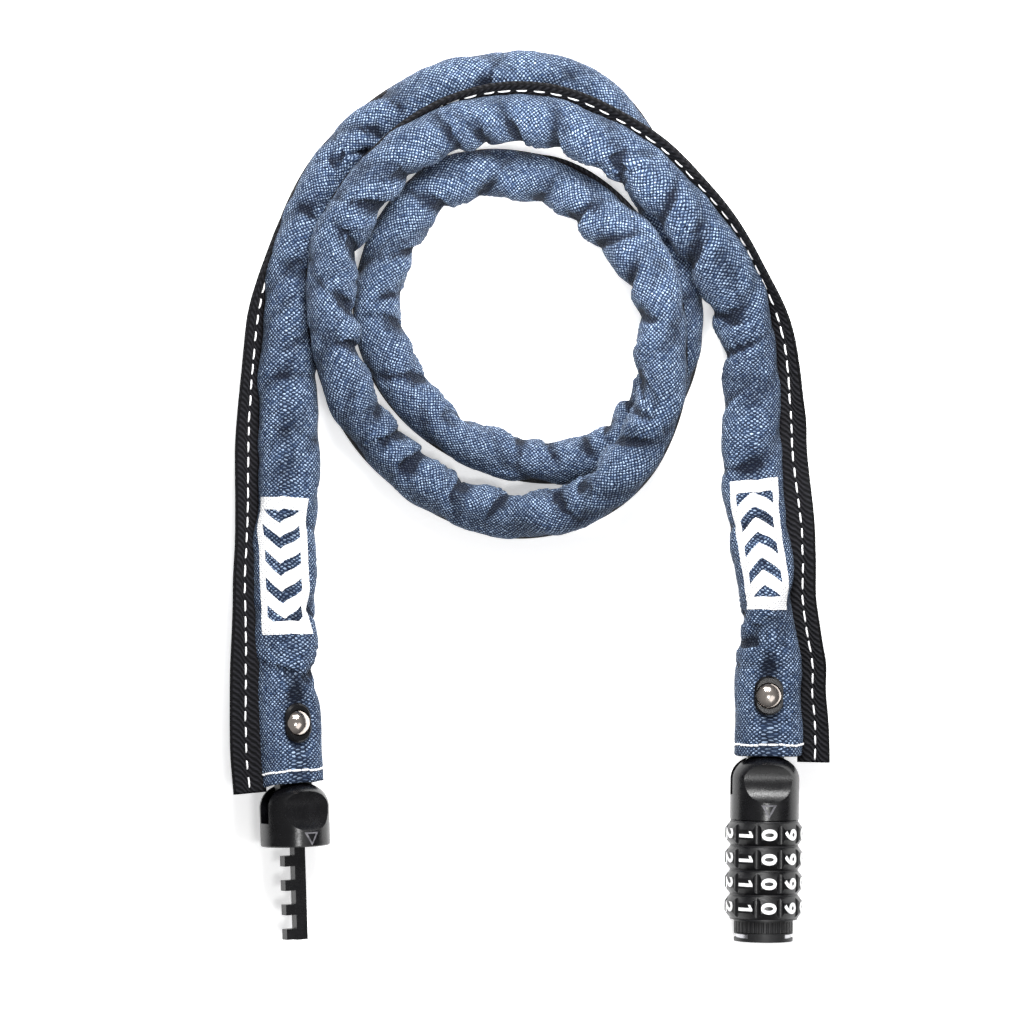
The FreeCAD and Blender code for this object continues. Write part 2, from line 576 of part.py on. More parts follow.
def make_dial(middle):
    """Barrel-shaped dial with ten number pads and a splined bore."""
    half = DIAL_WIDTH / 2
    crown = half * DIAL_CROWN
    outline = [(0, middle - half), (DIAL_FACE_R, middle - half), (DIAL_R, middle - crown),
               (DIAL_R, middle + crown), (DIAL_FACE_R, middle + half), (0, middle + half)]
    dial = turned(outline)
    groove = Part.makeCylinder(DIAL_GROOVE_R, 2 * DIAL_WIDTH,
                               Vector(0, DIAL_R + DIAL_GROOVE_OUT, middle - DIAL_WIDTH),
                               Z_AXIS)
    for cutter in around(groove, DIGITS, 180.0 / DIGITS):
        dial = dial.cut(cutter)
    dial = dial.cut(cylinder(DIAL_COUNTERBORE_R, middle - half - MORE, middle + SPLINE_FROM))
    dial = dial.cut(cylinder(DIAL_BORE_R, middle, middle + half + MORE))
    wide = CODE_RIB_WIDTH / 2 + SPLINE_PLAY
    spline = box((0, DIAL_SPLINE_R), (-wide, wide),
                 (middle + SPLINE_FROM - SPLINE_LEAD, middle + half + MORE))
    for cutter in around(spline, DIGITS):
        dial = dial.cut(cutter)
    return dial


def make_code_ring(middle, last):
    """Code ring with a gate for the blade's tooth, ribs for its dial and a spacing neck."""
    start, end = middle + CODE_FROM, middle + CODE_TO
    body = cylinder(CODE_R, start, end)
    wide = CODE_RIB_WIDTH / 2
    rib = box((CODE_BORE_R, CODE_RIB_R), (-wide, wide), (start, middle + CODE_RIB_TO))
    for tooth in around(rib, DIGITS):
        body = body.fuse(tooth)
    body = body.cut(cylinder(CODE_BORE_R, start - MORE, end + MORE))
    gate = box((-NECK_BORE_R, 0), (-GATE_HALF, GATE_HALF), (start - MORE, end + MORE))
    body = body.cut(gate)
    if last:
        return body
    neck_end = start + DIAL_PITCH - NECK_PLAY
    return body.fuse(ring(NECK_R, NECK_BORE_R, end, neck_end))


def make_set_slider():
    return ring(SLIDER_R, NECK_BORE_R, SLIDER_FROM, SLIDER_TO)


def make_set_ring():
    """Ribbed ring that is turned a quarter to set a new code."""
    body = ring(SET_R, SET_BORE_R, SET_FROM, SET_STEP)
    body = body.fuse(ring(SET_R, SET_RIM_BORE_R, SET_STEP, SET_TO))
    centre = Vector(0, SET_R + SET_RIB_R - SET_RIB_DEPTH, SET_FROM + SET_RIB_FROM)
    groove = Part.makeCylinder(SET_RIB_R, SET_TO, centre, Z_AXIS)
    cutters = Part.makeCompound(around(groove, SET_RIBS))
    return body.cut(cutters)


def make_end_cap():
    """End ring with two wide side windows onto the retaining ring."""
    body = ring(SET_R, RETAINER_BORE_R, CAP_END_FROM, CORE_END)
    low, high = RETAINER_FROM - WINDOW_PLAY, RETAINER_TO + WINDOW_PLAY
    body = body.cut(ring(RETAINER_R + WINDOW_PLAY, RETAINER_BORE_R, low, high))
    window = box((-SET_R - MORE, SET_R + MORE), (-WINDOW_HALF, WINDOW_HALF), (low, high))
    return body.cut(window)


def make_retaining_ring():
    body = ring(RETAINER_R, RETAINER_BORE_R, RETAINER_FROM, RETAINER_TO)
    gap = box((-RETAINER_GAP_HALF, RETAINER_GAP_HALF), (-SET_R - MORE, 0),
              (RETAINER_FROM - MORE, RETAINER_TO + MORE))
    return body.cut(gap)


# ---- bolt ----

def blade_bar(start, end):
    return box((BLADE_BACK, BLADE_FRONT), (-BLADE_HALF, BLADE_HALF), (start, end))


def make_bolt_blade():
    """Bar with one tooth for each code ring, pinned into the bolt head's boss."""
    blade = blade_bar(BLADE_ROOT, BOLT_HEAD_END + BLADE_LENGTH)
    for k in range(DIALS):
        start = BOLT_HEAD_END + TOOTH_FIRST + DIAL_PITCH * k
        tooth = box((-TOOTH_REACH, BLADE_BACK), (-BLADE_HALF, BLADE_HALF),
                    (start, start + TOOTH_LENGTH))
        blade = blade.fuse(tooth)
    blade = blade.cut(cross_cylinder(BLADE_PIN_R, -MORE, MORE, BLADE_PIN_AT))
    return blade.removeSplitter()


def make_blade_pin():
    reach = BOSS_R - BLADE_PIN_IN
    return cross_cylinder(BLADE_PIN_R, -reach, reach, BLADE_PIN_AT)


# ---- assembly ----

def build():
    edges = rounded_path(ROUTE)
    track = Track(edges)
    nodes = {
        "sleeve": make_sleeve(edges),
        "binding_tape": make_tape(track),
        "chain_links": make_links(track),
        "lock_tongue": placed(make_tongue(), LOCK_TONGUE_FRAME),
        "bolt_tongue": placed(make_tongue(), BOLT_TONGUE_FRAME),
        "rivets": on_both_tongues(make_rivet()),
        "front_washers": on_both_tongues(make_front_washer()),
        "rear_washers": on_both_tongues(make_rear_washer()),
        "rivet_caps": on_both_tongues(make_rivet_cap()),
        "lock_housing": placed(make_lock_housing(), LOCK_FRAME),
        "lock_pivot_pin": placed(make_pivot_pin(), LOCK_FRAME),
        "core_tube": placed(make_core_tube(), LOCK_FRAME),
        "core_pin": placed(make_core_pin(), LOCK_FRAME),
        "return_spring": placed(make_return_spring(), LOCK_FRAME),
        "click_washers": placed(make_click_washers(), LOCK_FRAME),
        "end_cap": placed(make_end_cap(), LOCK_FRAME),
        "retaining_ring": placed(make_retaining_ring(), LOCK_FRAME),
        "set_ring": placed(make_set_ring(), LOCK_FRAME),
        "set_slider": placed(make_set_slider(), LOCK_FRAME),
        "bolt_head": placed(make_bolt_head(), BOLT_FRAME),
        "bolt_pivot_pin": placed(make_pivot_pin(), BOLT_FRAME),
        "bolt_blade": placed(make_bolt_blade(), BOLT_FRAME),
        "blade_pin": placed(make_blade_pin(), BOLT_FRAME),
    }
    for k in range(DIALS):
        last = k == DIALS - 1
        nodes[f"dial_{k + 1}"] = placed(make_dial(dial_middle(k)), LOCK_FRAME)
        nodes[f"code_ring_{k + 1}"] = placed(make_code_ring(dial_middle(k), last), LOCK_FRAME)

    print(f"route {track.length:.0f} mm, {len(nodes['chain_links'].Solids)} links")
    return nodes


def main():
    os.makedirs("parts", exist_ok=True)
    for name, shape in build().items():
        shape.exportStep(f"parts/{name}.step")
        print(f"{name}: {len(shape.Solids)} solids, valid {shape.isValid()}, "
              f"volume {shape.Volume:.1f} mm3")


main()
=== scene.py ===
import json
import math

import bmesh
import bpy
import numpy as np
from mathutils import Matrix, Vector
from mathutils.kdtree import KDTree


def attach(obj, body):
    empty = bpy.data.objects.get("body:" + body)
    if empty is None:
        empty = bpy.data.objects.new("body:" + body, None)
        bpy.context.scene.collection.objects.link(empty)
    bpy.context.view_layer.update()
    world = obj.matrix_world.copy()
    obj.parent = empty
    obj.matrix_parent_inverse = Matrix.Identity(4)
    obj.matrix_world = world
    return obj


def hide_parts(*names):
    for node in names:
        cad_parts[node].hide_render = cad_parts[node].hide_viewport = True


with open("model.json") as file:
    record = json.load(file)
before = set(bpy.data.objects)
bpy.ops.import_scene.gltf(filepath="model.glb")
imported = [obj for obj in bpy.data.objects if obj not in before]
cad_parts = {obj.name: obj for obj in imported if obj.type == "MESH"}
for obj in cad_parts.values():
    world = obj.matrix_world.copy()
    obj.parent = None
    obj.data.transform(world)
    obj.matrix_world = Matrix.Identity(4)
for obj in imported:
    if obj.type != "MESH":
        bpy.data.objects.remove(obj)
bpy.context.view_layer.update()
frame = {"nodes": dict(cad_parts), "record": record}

MM = 0.001
UP = np.array([0.0, 0.0, 1.0])

# ---- where things lie, in millimetres, as the CAD has them ----
ROUTE = [
    (61.86, -65.5, 10.3), (62.5, -28.5, 10.3), (59.5, -6.5, 6.6), (57.5, 16.0, 6.7),
    (58.8, 35.5, 7.0), (54.5, 51.5, 10.0), (47.4, 65.0, 16.4), (36.5, 78.0, 20.9),
    (23.0, 89.0, 20.9), (8.0, 96.0, 18.4), (-8.0, 98.0, 16.2), (-23.5, 94.5, 16.4),
    (-37.3, 85.5, 18.2), (-47.3, 73.5, 17.2), (-52.5, 60.0, 15.7), (-53.0, 46.0, 15.4),
    (-50.0, 31.0, 13.2), (-44.3, 18.0, 8.9), (-34.0, 6.0, 6.6), (-21.0, -3.0, 6.6),
    (-5.5, -8.0, 8.0), (10.0, -6.0, 13.2), (24.0, 3.0, 19.0), (32.0, 18.0, 20.9),
    (34.8, 33.5, 20.9), (34.4, 48.0, 20.9), (29.9, 60.8, 19.5), (21.0, 71.4, 14.2),
    (9.5, 79.5, 8.4), (-3.0, 84.0, 6.6), (-16.0, 84.0, 6.6), (-27.5, 78.5, 6.6),
    (-35.5, 68.5, 6.6), (-40.0, 56.5, 6.6), (-40.5, 43.5, 6.6), (-36.3, 31.2, 6.6),
    (-28.2, 20.8, 6.6), (-17.5, 12.5, 6.6), (-4.8, 7.8, 6.6), (7.5, 6.6, 6.6),
    (19.0, 9.2, 6.6), (28.7, 16.0, 6.6), (35.5, 26.0, 6.6), (39.0, 38.0, 6.6),
    (39.5, 51.0, 6.6), (37.3, 64.5, 6.6), (33.3, 78.0, 6.6), (28.0, 91.0, 6.6),
    (20.0, 102.0, 6.6), (8.5, 108.6, 6.6), (-5.0, 110.0, 6.6), (-20.3, 107.6, 6.6),
    (-35.4, 100.8, 6.6), (-49.0, 89.2, 6.6), (-58.1, 75.2, 6.6), (-62.9, 60.0, 6.6),
    (-64.0, 41.5, 6.6), (-63.0, 16.0, 6.6), (-63.5, -8.0, 6.7), (-65.0, -32.0, 9.25),
    (-62.57, -72.82, 9.25),
]
MOUTH_AT = 9.5                # first and last route points, from the clevis pins
HEM_AT = 5.3                  # edge of the fabric, from the clevis pins
LOCK_TILT, LOCK_ROLL = -0.6, 5.0
BOLT_TILT, BOLT_ROLL = 1.8, 31.0
RIVET_AT = 21.1
DIAL_FIRST, DIAL_PITCH, DIAL_R = 15.1, 6.4, 10.2
LOCK_HEAD_R, BOLT_HEAD_R = 9.1, 9.2
MARK_TOP, MARK_TIP, MARK_HALF, MARK_LINE = 7.3, 10.9, 2.1, 0.45
MARK_SUNK, MARK_FILL = 0.08, 0.14             # top of the fill below the skin, and its thickness

# ---- fabric ----
STEP = 0.8                    # spacing of the fabric's rings
AROUND = 56                   # points round each ring
PERIMETER = 42.0              # one turn of the weave's pattern round the sleeve
FABRIC_WALL = 0.45
SLIGHT_BEND, FULL_BEND = 0.003, 0.015         # curvature where creases begin and are full
# Creases near each mouth: distance, depth, slant, twist and how far round each one reaches.
GATHERS = ((8.0, 0.25, 0.0, 0.0, 1.0), (19.0, 1.8, 1.6, 1.4, 1.0), (25.5, 1.3, -1.2, -1.0, 1.0))
CREASES_FROM, CREASES_TO = 30.0, 26.0         # first and last other crease, from each mouth
# Long shallow waves of the fabric: length, turns round the sleeve in one length, and height.
WAVES = ((37.0, 1, 0.30), (23.0, 2, 0.26), (14.1, 3, 0.20), (8.3, 4, 0.10))
SEAM_HALF = 0.45              # angle either side of the seam that is held still as it settles
STEPS, QUICK_STEPS = 90, 30
STIFF_ALONG, STIFF_AROUND, STIFF_CROSS = 0.8, 0.7, 0.12
BENDING = ((2, 0.30), (5, 0.12))              # rings apart that push against a fold, and how much
BENT_LENGTH = 0.94            # share of their flat distance that those rings may come to freely
BEND_SLACK = 0.15             # spare length opposite the seam, by the line's curvature
FURTHEST_OUT = 9.2            # from the line to the fabric
CORE_R = 4.3                  # least radius that the chain keeps open
FLOOR_GAP, STRAND_GAP = 0.25, 0.12            # under the fabric, and to the middle of two strands
SAME_STRAND, BESIDE = 35.0, 24.0              # nearer along the line, or further off: no neighbour
FAR_OFF = 1e3
WASHER_HALF = (4.4, 5.9)      # across the sleeve and along it
PRESSED_TO, PRESSED_RISE = 4.12, 1.5          # half height at the washers, and rise round them
HEM_RIPPLE = (0.35, 0.25)     # heights of the two waves of each hem's edge
# Half widths of the sleeve by distance from the lock's mouth: towards the outer side, where
# the tape is, and towards the inner side, then half its height and how square its section is.
SHAPE = [
    (-4.2, 9.9, 8.2, 4.8, 3.2), (4.0, 9.5, 8.2, 4.9, 3.0), (13.0, 8.8, 8.2, 5.0, 2.8),
    (20.0, 10.0, 8.4, 5.4, 2.5), (25.6, 8.4, 5.9, 6.0, 2.2), (36.0, 6.6, 6.3, 6.2, 2.3),
    (53.0, 8.0, 7.6, 6.1, 2.4), (68.0, 7.9, 7.5, 6.0, 2.4), (84.0, 7.8, 7.4, 6.0, 2.3),
    (97.0, 7.3, 6.2, 6.2, 2.1), (108.0, 7.1, 7.4, 6.2, 2.2), (128.0, 7.2, 8.2, 6.0, 2.3),
    (150.0, 6.0, 7.4, 6.1, 2.2), (175.0, 6.0, 6.6, 6.2, 2.1), (240.0, 5.8, 6.2, 6.2, 2.0),
    (320.0, 5.5, 6.2, 6.2, 2.0), (340.0, 5.1, 6.0, 6.2, 2.0), (372.0, 5.1, 5.4, 6.2, 2.0),
    (395.0, 6.4, 5.6, 6.2, 2.0), (412.0, 6.7, 5.8, 6.2, 2.0), (430.0, 5.9, 5.6, 6.2, 2.0),
    (446.0, 5.8, 6.8, 6.2, 2.0), (458.0, 5.8, 7.4, 6.2, 2.0), (472.0, 5.8, 6.2, 6.2, 2.0),
]
# The same by distance from the bolt's mouth.
FAR_SHAPE = [
    (-4.2, 9.3, 8.3, 4.8, 3.2), (5.0, 9.3, 8.3, 4.9, 3.0), (17.0, 9.0, 8.6, 5.0, 2.8),
    (23.0, 8.8, 6.6, 5.6, 2.4), (34.0, 8.6, 7.3, 6.1, 2.3), (46.0, 8.8, 7.8, 6.0, 2.4),
    (58.0, 8.3, 7.6, 6.0, 2.4), (85.0, 8.4, 7.2, 6.0, 2.4), (101.0, 7.9, 7.5, 6.0, 2.3),
    (125.0, 6.0, 6.8, 6.2, 2.2), (170.0, 5.8, 6.2, 6.2, 2.0), (320.0, 5.8, 6.6, 6.2, 2.0),
    (333.0, 5.6, 7.2, 6.2, 2.0), (345.0, 4.9, 6.0, 6.2, 2.0), (385.0, 4.9, 5.3, 6.2, 2.0),
    (397.0, 5.6, 5.4, 6.2, 2.0), (410.0, 5.8, 6.2, 6.2, 2.0),
]


# ---- line of the sleeve ----

def route_curve():
    curve = bpy.data.curves.new("route", "CURVE")
    curve.dimensions = "3D"
    curve.resolution_u = 24
    spline = curve.splines.new("NURBS")
    spline.points.add(len(ROUTE) - 1)
    for point, place in zip(spline.points, ROUTE):
        point.co = (*[x * MM for x in place], 1.0)
    spline.order_u = 3
    spline.use_endpoint_u = True
    return curve


def route_line():
    """Points along the route's spline, in millimetres."""
    curve = route_curve()
    holder = bpy.data.objects.new("route", curve)
    mesh = bpy.data.meshes.new_from_object(holder)
    line = np.array([v.co[:] for v in mesh.vertices]) / MM
    bpy.data.meshes.remove(mesh)
    bpy.data.objects.remove(holder)
    bpy.data.curves.remove(curve)
    return line


def unit(v):
    return v / np.maximum(np.linalg.norm(v, axis=-1, keepdims=True), 1e-12)


def resampled(line):
    """Even points from one hem to the other, and each one's distance from the lock's mouth."""
    past = MOUTH_AT - HEM_AT
    first = line[0] + unit(line[0] - line[1]) * past
    last = line[-1] + unit(line[-1] - line[-2]) * past
    line = np.concatenate([[first], line, [last]])
    along = np.concatenate([[0.0], np.cumsum(np.linalg.norm(np.diff(line, axis=0), axis=1))])
    at = np.linspace(0.0, along[-1], int(round(along[-1] / STEP)) + 1)
    even = np.stack([np.interp(at, along, line[:, k]) for k in range(3)], axis=1)
    return even, at - past


def smoothed(values, reach):
    """Values along the line, averaged over a Gaussian of that many rings."""
    half = int(3 * reach)
    weights = np.exp(-0.5 * (np.arange(-half, half + 1) / reach) ** 2)
    weights /= weights.sum()
    padded = np.concatenate([[values[0]] * half, values, [values[-1]] * half])
    return np.convolve(padded, weights, "valid")


def keyed(keys, column, at):
    """One column of a table of rows, between the rows by their first value."""
    return np.interp(at, [k[0] for k in keys], [k[column] for k in keys])


LINE, AT = resampled(route_line())
RINGS = len(LINE)
LENGTH = AT[-1] - (MOUTH_AT - HEM_AT)
TO_BOLT = LENGTH - AT
ALONG = unit(np.gradient(LINE, axis=0))
SIDE = unit(np.cross(ALONG, UP))
NORMAL = np.cross(SIDE, ALONG)
BEND = np.linalg.norm(np.gradient(ALONG, axis=0), axis=1) / STEP
BEND = smoothed(BEND, 10)


def section_values():
    """Outer and inner half widths, half height and squareness at each ring."""
    near = np.stack([keyed(SHAPE, k, AT) for k in (1, 2, 3, 4)])
    far = np.stack([keyed(FAR_SHAPE, k, TO_BOLT) for k in (1, 2, 3, 4)])
    values = np.where(AT < LENGTH / 2, near, far)
    return np.stack([smoothed(v, 3) for v in values])


def fade(x, low, high):
    """0 below low, 1 above high, smooth in between."""
    t = np.clip((x - low) / (high - low), 0.0, 1.0)
    return t * t * (3 - 2 * t)


OUTER, INNER, HALF_HEIGHT, SQUARE = section_values()
ROLL = np.radians(-LOCK_ROLL * (1 - fade(AT, 22, 60)) + BOLT_ROLL * (1 - fade(TO_BOLT, 22, 75)))
ACROSS = SIDE * np.cos(ROLL)[:, None] + NORMAL * np.sin(ROLL)[:, None]
THROUGH = NORMAL * np.cos(ROLL)[:, None] - SIDE * np.sin(ROLL)[:, None]
ANGLES = 2 * np.pi * np.arange(AROUND) / AROUND


def plain_sleeve():
    """The sleeve's rings before it folds: an array of rings, points and coordinates."""
    c, s = np.cos(ANGLES)[None, :], np.sin(ANGLES)[None, :]
    power = (2.0 / SQUARE)[:, None]
    x = np.sign(c) * np.abs(c) ** power
    y = np.sign(s) * np.abs(s) ** power
    x = x * np.where(c > 0, OUTER[:, None], INNER[:, None])
    y = y * HALF_HEIGHT[:, None]
    return LINE[:, None] + ACROSS[:, None] * x[..., None] + THROUGH[:, None] * y[..., None]


def fold_marks():
    """All creases of the fabric as rows like those of GATHERS, from the lock's mouth."""
    random = np.random.default_rng(21)
    marks = list(GATHERS)
    at = CREASES_FROM
    while at < LENGTH - CREASES_TO:
        bent = fade(np.interp(at, AT, BEND), SLIGHT_BEND, FULL_BEND)
        depth = (0.34 + 0.72 * bent) * random.uniform(0.55, 1.4)
        slant = random.choice([-1.0, 1.0]) * random.uniform(1.2, 4.2)
        marks.append((at, depth, slant, random.uniform(-2.2, 2.2), random.uniform(0.0, 1.0)))
        at += random.uniform(7.5, 19.0) if bent > 0.5 else random.uniform(12.0, 27.0)
    marks += [(LENGTH - at, depth, -slant, twist, reach)
              for at, depth, slant, twist, reach in GATHERS[::-1]]
    return np.array(marks)


def folds():
    """How far the fabric stands in or out before it settles: bulges between slanting creases."""
    random = np.random.default_rng(12)
    turn = np.angle(np.exp(1j * (ANGLES - np.pi)))[None, :]
    at, depth, slant, twist, reach = fold_marks().T[:, :, None]
    lines = at + slant * np.abs(turn) + twist * turn
    depths = depth * (0.25 + 0.75 * fade(np.cos(turn), -reach, 0.75 - reach * 0.5))
    height = np.zeros((RINGS, AROUND))
    for j in range(AROUND):
        i = np.clip(np.searchsorted(lines[:, j], AT) - 1, 0, len(lines) - 2)
        low, high = lines[i, j], lines[i + 1, j]
        t = np.clip((AT - low) / (high - low), 0.0, 1.0)
        sink = depths[i, j] * (1 - t) + depths[i + 1, j] * t
        proud = np.interp(low - high, (-19.0, -8.0), (2.55, 1.75))
        height[:, j] = sink * (proud * np.sin(np.pi * t) ** 0.6 - 1.3)
    for wave, turns, size in WAVES:
        phase = np.cumsum(random.normal(0, 0.09, RINGS))
        height += size * np.sin(2 * np.pi * AT[:, None] / wave + phase[:, None]
                                + turns * ANGLES[None, :] * random.choice([-1, 1]))
    return height


def neighbours():
    """For each ring, planes that keep it clear of up to three other strands beside it."""
    rows = np.arange(RINGS)
    gap = np.linalg.norm(LINE[:, None] - LINE[None], axis=2)
    near = rows
    planes = []
    for _ in range(3):
        gap[np.abs(rows[None] - near[:, None]) * STEP < SAME_STRAND] = FAR_OFF
        near = gap.argmin(axis=1)
        far = gap[rows, near]
        normal = unit(LINE[near] - LINE)
        room = np.where(far < BESIDE, far / 2 - STRAND_GAP, FAR_OFF)
        limit = (LINE * normal).sum(1) + room
        planes.append((normal[:, None], limit[:, None]))
    return planes


def chain_reach():
    """How far out the chain stands at each ring and angle, with room for the fabric's wall."""
    tree = KDTree(RINGS)
    for i, place in enumerate(LINE):
        tree.insert(place, i)
    tree.balance()
    mesh = frame["nodes"]["chain_links"].data
    corners = np.array([v.co[:] for v in mesh.vertices]) / MM
    ends = np.array([e.vertices[:] for e in mesh.edges])
    a, b = corners[ends[:, 0]], corners[ends[:, 1]]
    points = np.concatenate([a + (b - a) * share for share in (0.0, 0.25, 0.5, 0.75, 1.0)])
    row = np.array([tree.find(p)[1] for p in points])
    off = points - LINE[row]
    x, y = (off * ACROSS[row]).sum(1), (off * THROUGH[row]).sum(1)
    column = np.round(np.arctan2(y, x) / (2 * np.pi) * AROUND).astype(int) % AROUND
    reach = np.full((RINGS, AROUND), CORE_R)
    np.maximum.at(reach, (row, column), np.hypot(x, y) + FABRIC_WALL)
    for _ in range(2):
        wide = np.maximum(np.maximum(np.roll(reach, 1, axis=1), np.roll(reach, -1, axis=1)), reach)
        reach = wide.copy()
        reach[1:] = np.maximum(reach[1:], wide[:-1])
        reach[:-1] = np.maximum(reach[:-1], wide[1:])
    return reach


def pull(a, b, weight_a, weight_b, rest, stiff, only_push=False):
    """One step of springs between two sets of points, in place."""
    d = b - a
    long = np.sqrt((d * d).sum(-1)) + 1e-9
    change = (long - rest) / long
    if only_push:
        change = np.minimum(change, 0.0)
    share = (stiff * change / (weight_a + weight_b + 1e-6))[..., None] * d
    a += weight_a[..., None] * share
    b -= weight_b[..., None] * share


def ring_pairs(reach):
    """Pairs of slices that take in every ring and the one that many rings further on."""
    for first in range(2 * reach):
        yield slice(first, RINGS - reach, 2 * reach), slice(first + reach, RINGS, 2 * reach)


def spring_step(x, free, around, along, cross):
    """One round of springs: along the weave, around it, across it, and against folding up."""
    for low, high in ring_pairs(1):
        pull(x[low], x[high], free[low], free[high], along[low], STIFF_ALONG)
    for shift in (0, -1):
        y, w, rest = (np.roll(v, shift, axis=1) for v in (x, free, around))
        pull(y[:, 0::2], y[:, 1::2], w[:, 0::2], w[:, 1::2], rest[:, 0::2], STIFF_AROUND)
        x = np.roll(y, -shift, axis=1)
    for shift in (-1, 1):
        for low, high in ring_pairs(1):
            y, w = np.roll(x[high], shift, axis=1), np.roll(free[high], shift, axis=1)
            pull(x[low], y, free[low], w, cross[low], STIFF_CROSS)
            x[high] = np.roll(y, -shift, axis=1)
    for reach, stiff in BENDING:
        for low, high in ring_pairs(reach):
            rest = along[low] * reach * BENT_LENGTH
            pull(x[low], x[high], free[low], free[high], rest, stiff, only_push=True)
    return x


def from_line(x):
    """How far points have slid along the line, and their way out from it and its length."""
    out = x - LINE[:, None]
    slid = (out * ALONG[:, None]).sum(-1)
    out -= slid[..., None] * ALONG[:, None]
    return slid, out, np.sqrt((out * out).sum(-1)) + 1e-9


def hold_clear(x, free, planes, core):
    """Draw the fabric in, and keep it off the strands beside it, the chain and the floor."""
    _, out, radius = from_line(x)
    over = np.maximum(radius - FURTHEST_OUT, 0.0) * (free > 0)
    x -= (out / radius[..., None]) * over[..., None]
    for normal, limit in planes:
        over = np.maximum((x * normal).sum(-1) - limit, 0.0) * (free > 0)
        x -= over[..., None] * normal
    slid, out, radius = from_line(x)
    row = np.clip(np.arange(RINGS)[:, None] + np.rint(slid / STEP).astype(int), 0, RINGS - 1)
    turn = np.arctan2((out * THROUGH[:, None]).sum(-1), (out * ACROSS[:, None]).sum(-1))
    column = np.rint(turn / (2 * np.pi) * AROUND).astype(int) % AROUND
    push = np.maximum(core[row, column] - radius, 0.0)
    x += (out / radius[..., None]) * push[..., None]
    x[..., 2] = np.maximum(x[..., 2], FLOOR_GAP)


def settled(points, free, steps):
    """The fabric after it settles: springs of the weave round the chain, floor and strands."""
    x = points.copy()
    around = np.linalg.norm(np.roll(points, -1, axis=1) - points, axis=2)
    slack = 1.0 + BEND_SLACK * BEND[:-1, None] * (1 - np.cos(ANGLES))[None, :]
    along = np.linalg.norm(np.diff(points, axis=0), axis=2) * slack
    cross = np.sqrt(along ** 2 + around[:-1] ** 2)
    planes = neighbours()
    core = chain_reach() * fade(np.minimum(AT, TO_BOLT), 16, 22)[:, None]
    for _ in range(steps):
        x = spring_step(x, free, around, along, cross)
        hold_clear(x, free, planes, core)
    return x


def pressed_at_rivets(rings):
    """The fabric held down to the washers round both rivets, front and back."""
    for away in (AT, TO_BOLT):
        along = away - (RIVET_AT - MOUTH_AT)
        off = rings - LINE[:, None]
        across = (off * ACROSS[:, None]).sum(-1)
        height = (off * THROUGH[:, None]).sum(-1)
        near = np.sqrt((across / WASHER_HALF[0]) ** 2 + (along[:, None] / WASHER_HALF[1]) ** 2)
        limit = PRESSED_TO + PRESSED_RISE * fade(near, 0.95, 2.1)
        near_rivet = (np.abs(along) < 12)[:, None] & (near < 2.1)
        excess = np.where(near_rivet, np.maximum(np.abs(height) - limit, 0.0), 0.0)
        rings = rings - THROUGH[:, None] * (np.sign(height) * excess)[..., None]
    return rings


def build_sleeve_points():
    """The sleeve's rings as they are in the end: folded, hemmed, settled and riveted down."""
    start = plain_sleeve()
    out = unit(start - LINE[:, None])
    ends = fade(np.minimum(AT, TO_BOLT), 18, 34)[:, None]
    shaped = start + out * (folds() * (0.4 + 0.6 * ends))[..., None]
    hem = 1 - fade(np.minimum(AT, TO_BOLT) + MOUTH_AT - HEM_AT, 0, 9)
    ripple = (HEM_RIPPLE[0] * np.sin(2 * ANGLES + 1.0)
              + HEM_RIPPLE[1] * np.sin(3 * ANGLES + 2.4))
    shaped = shaped + ALONG[:, None] * (hem[:, None] * ripple[None, :])[..., None]
    seam = 1 - np.exp(-(np.angle(np.exp(1j * ANGLES)) / SEAM_HALF) ** 2)
    free = ends * seam[None, :]
    return pressed_at_rivets(settled(shaped, free, STEPS))


SLEEVE = build_sleeve_points()


# ---- meshes ----

def new_object(name, vertices, faces, uvs=None, smooth=True):
    """Mesh object from points in millimetres."""
    mesh = bpy.data.meshes.new(name)
    mesh.from_pydata((np.asarray(vertices) * MM).tolist(), [], faces)
    if uvs is not None:
        layer = mesh.uv_layers.new(name="weave")
        layer.data.foreach_set("uv", np.asarray(uvs, np.float32).ravel())
    mesh.polygons.foreach_set("use_smooth", [smooth] * len(mesh.polygons))
    mesh.update()
    obj = bpy.data.objects.new(name, mesh)
    bpy.context.scene.collection.objects.link(obj)
    return obj


def tube(name, rings, u_values, v_values, caps=False):
    """Closed tube from an array of rings, its UVs in millimetres."""
    n, m = rings.shape[:2]
    faces, uvs = [], []
    for i in range(n - 1):
        for j in range(m):
            k = (j + 1) % m
            faces.append((i * m + j, (i + 1) * m + j, (i + 1) * m + k, i * m + k))
            uvs += [(u_values[j], v_values[i]), (u_values[j], v_values[i + 1]),
                    (u_values[j + 1], v_values[i + 1]), (u_values[j + 1], v_values[i])]
    if caps:
        for i, order in ((0, range(m)), (n - 1, range(m - 1, -1, -1))):
            faces.append(tuple(i * m + j for j in order))
            uvs += [(u_values[j], v_values[i]) for j in order]
    return new_object(name, rings.reshape(-1, 3), faces, uvs)


def fold_height():
    """How far each point of the fabric stands above the fabric around it, in millimetres; the
    material paints shade into the creases from it.
    """
    radius = np.linalg.norm(SLEEVE - LINE[:, None], axis=2)
    mean = np.stack([smoothed(column, 4) for column in radius.T], axis=1)
    reach = 3
    around = sum(np.roll(mean, k, axis=1) for k in range(-reach, reach + 1)) / (2 * reach + 1)
    off_rivets = 0.35 + 0.65 * fade(np.minimum(AT, TO_BOLT), 15, 22)
    return (radius - around) * off_rivets[:, None]


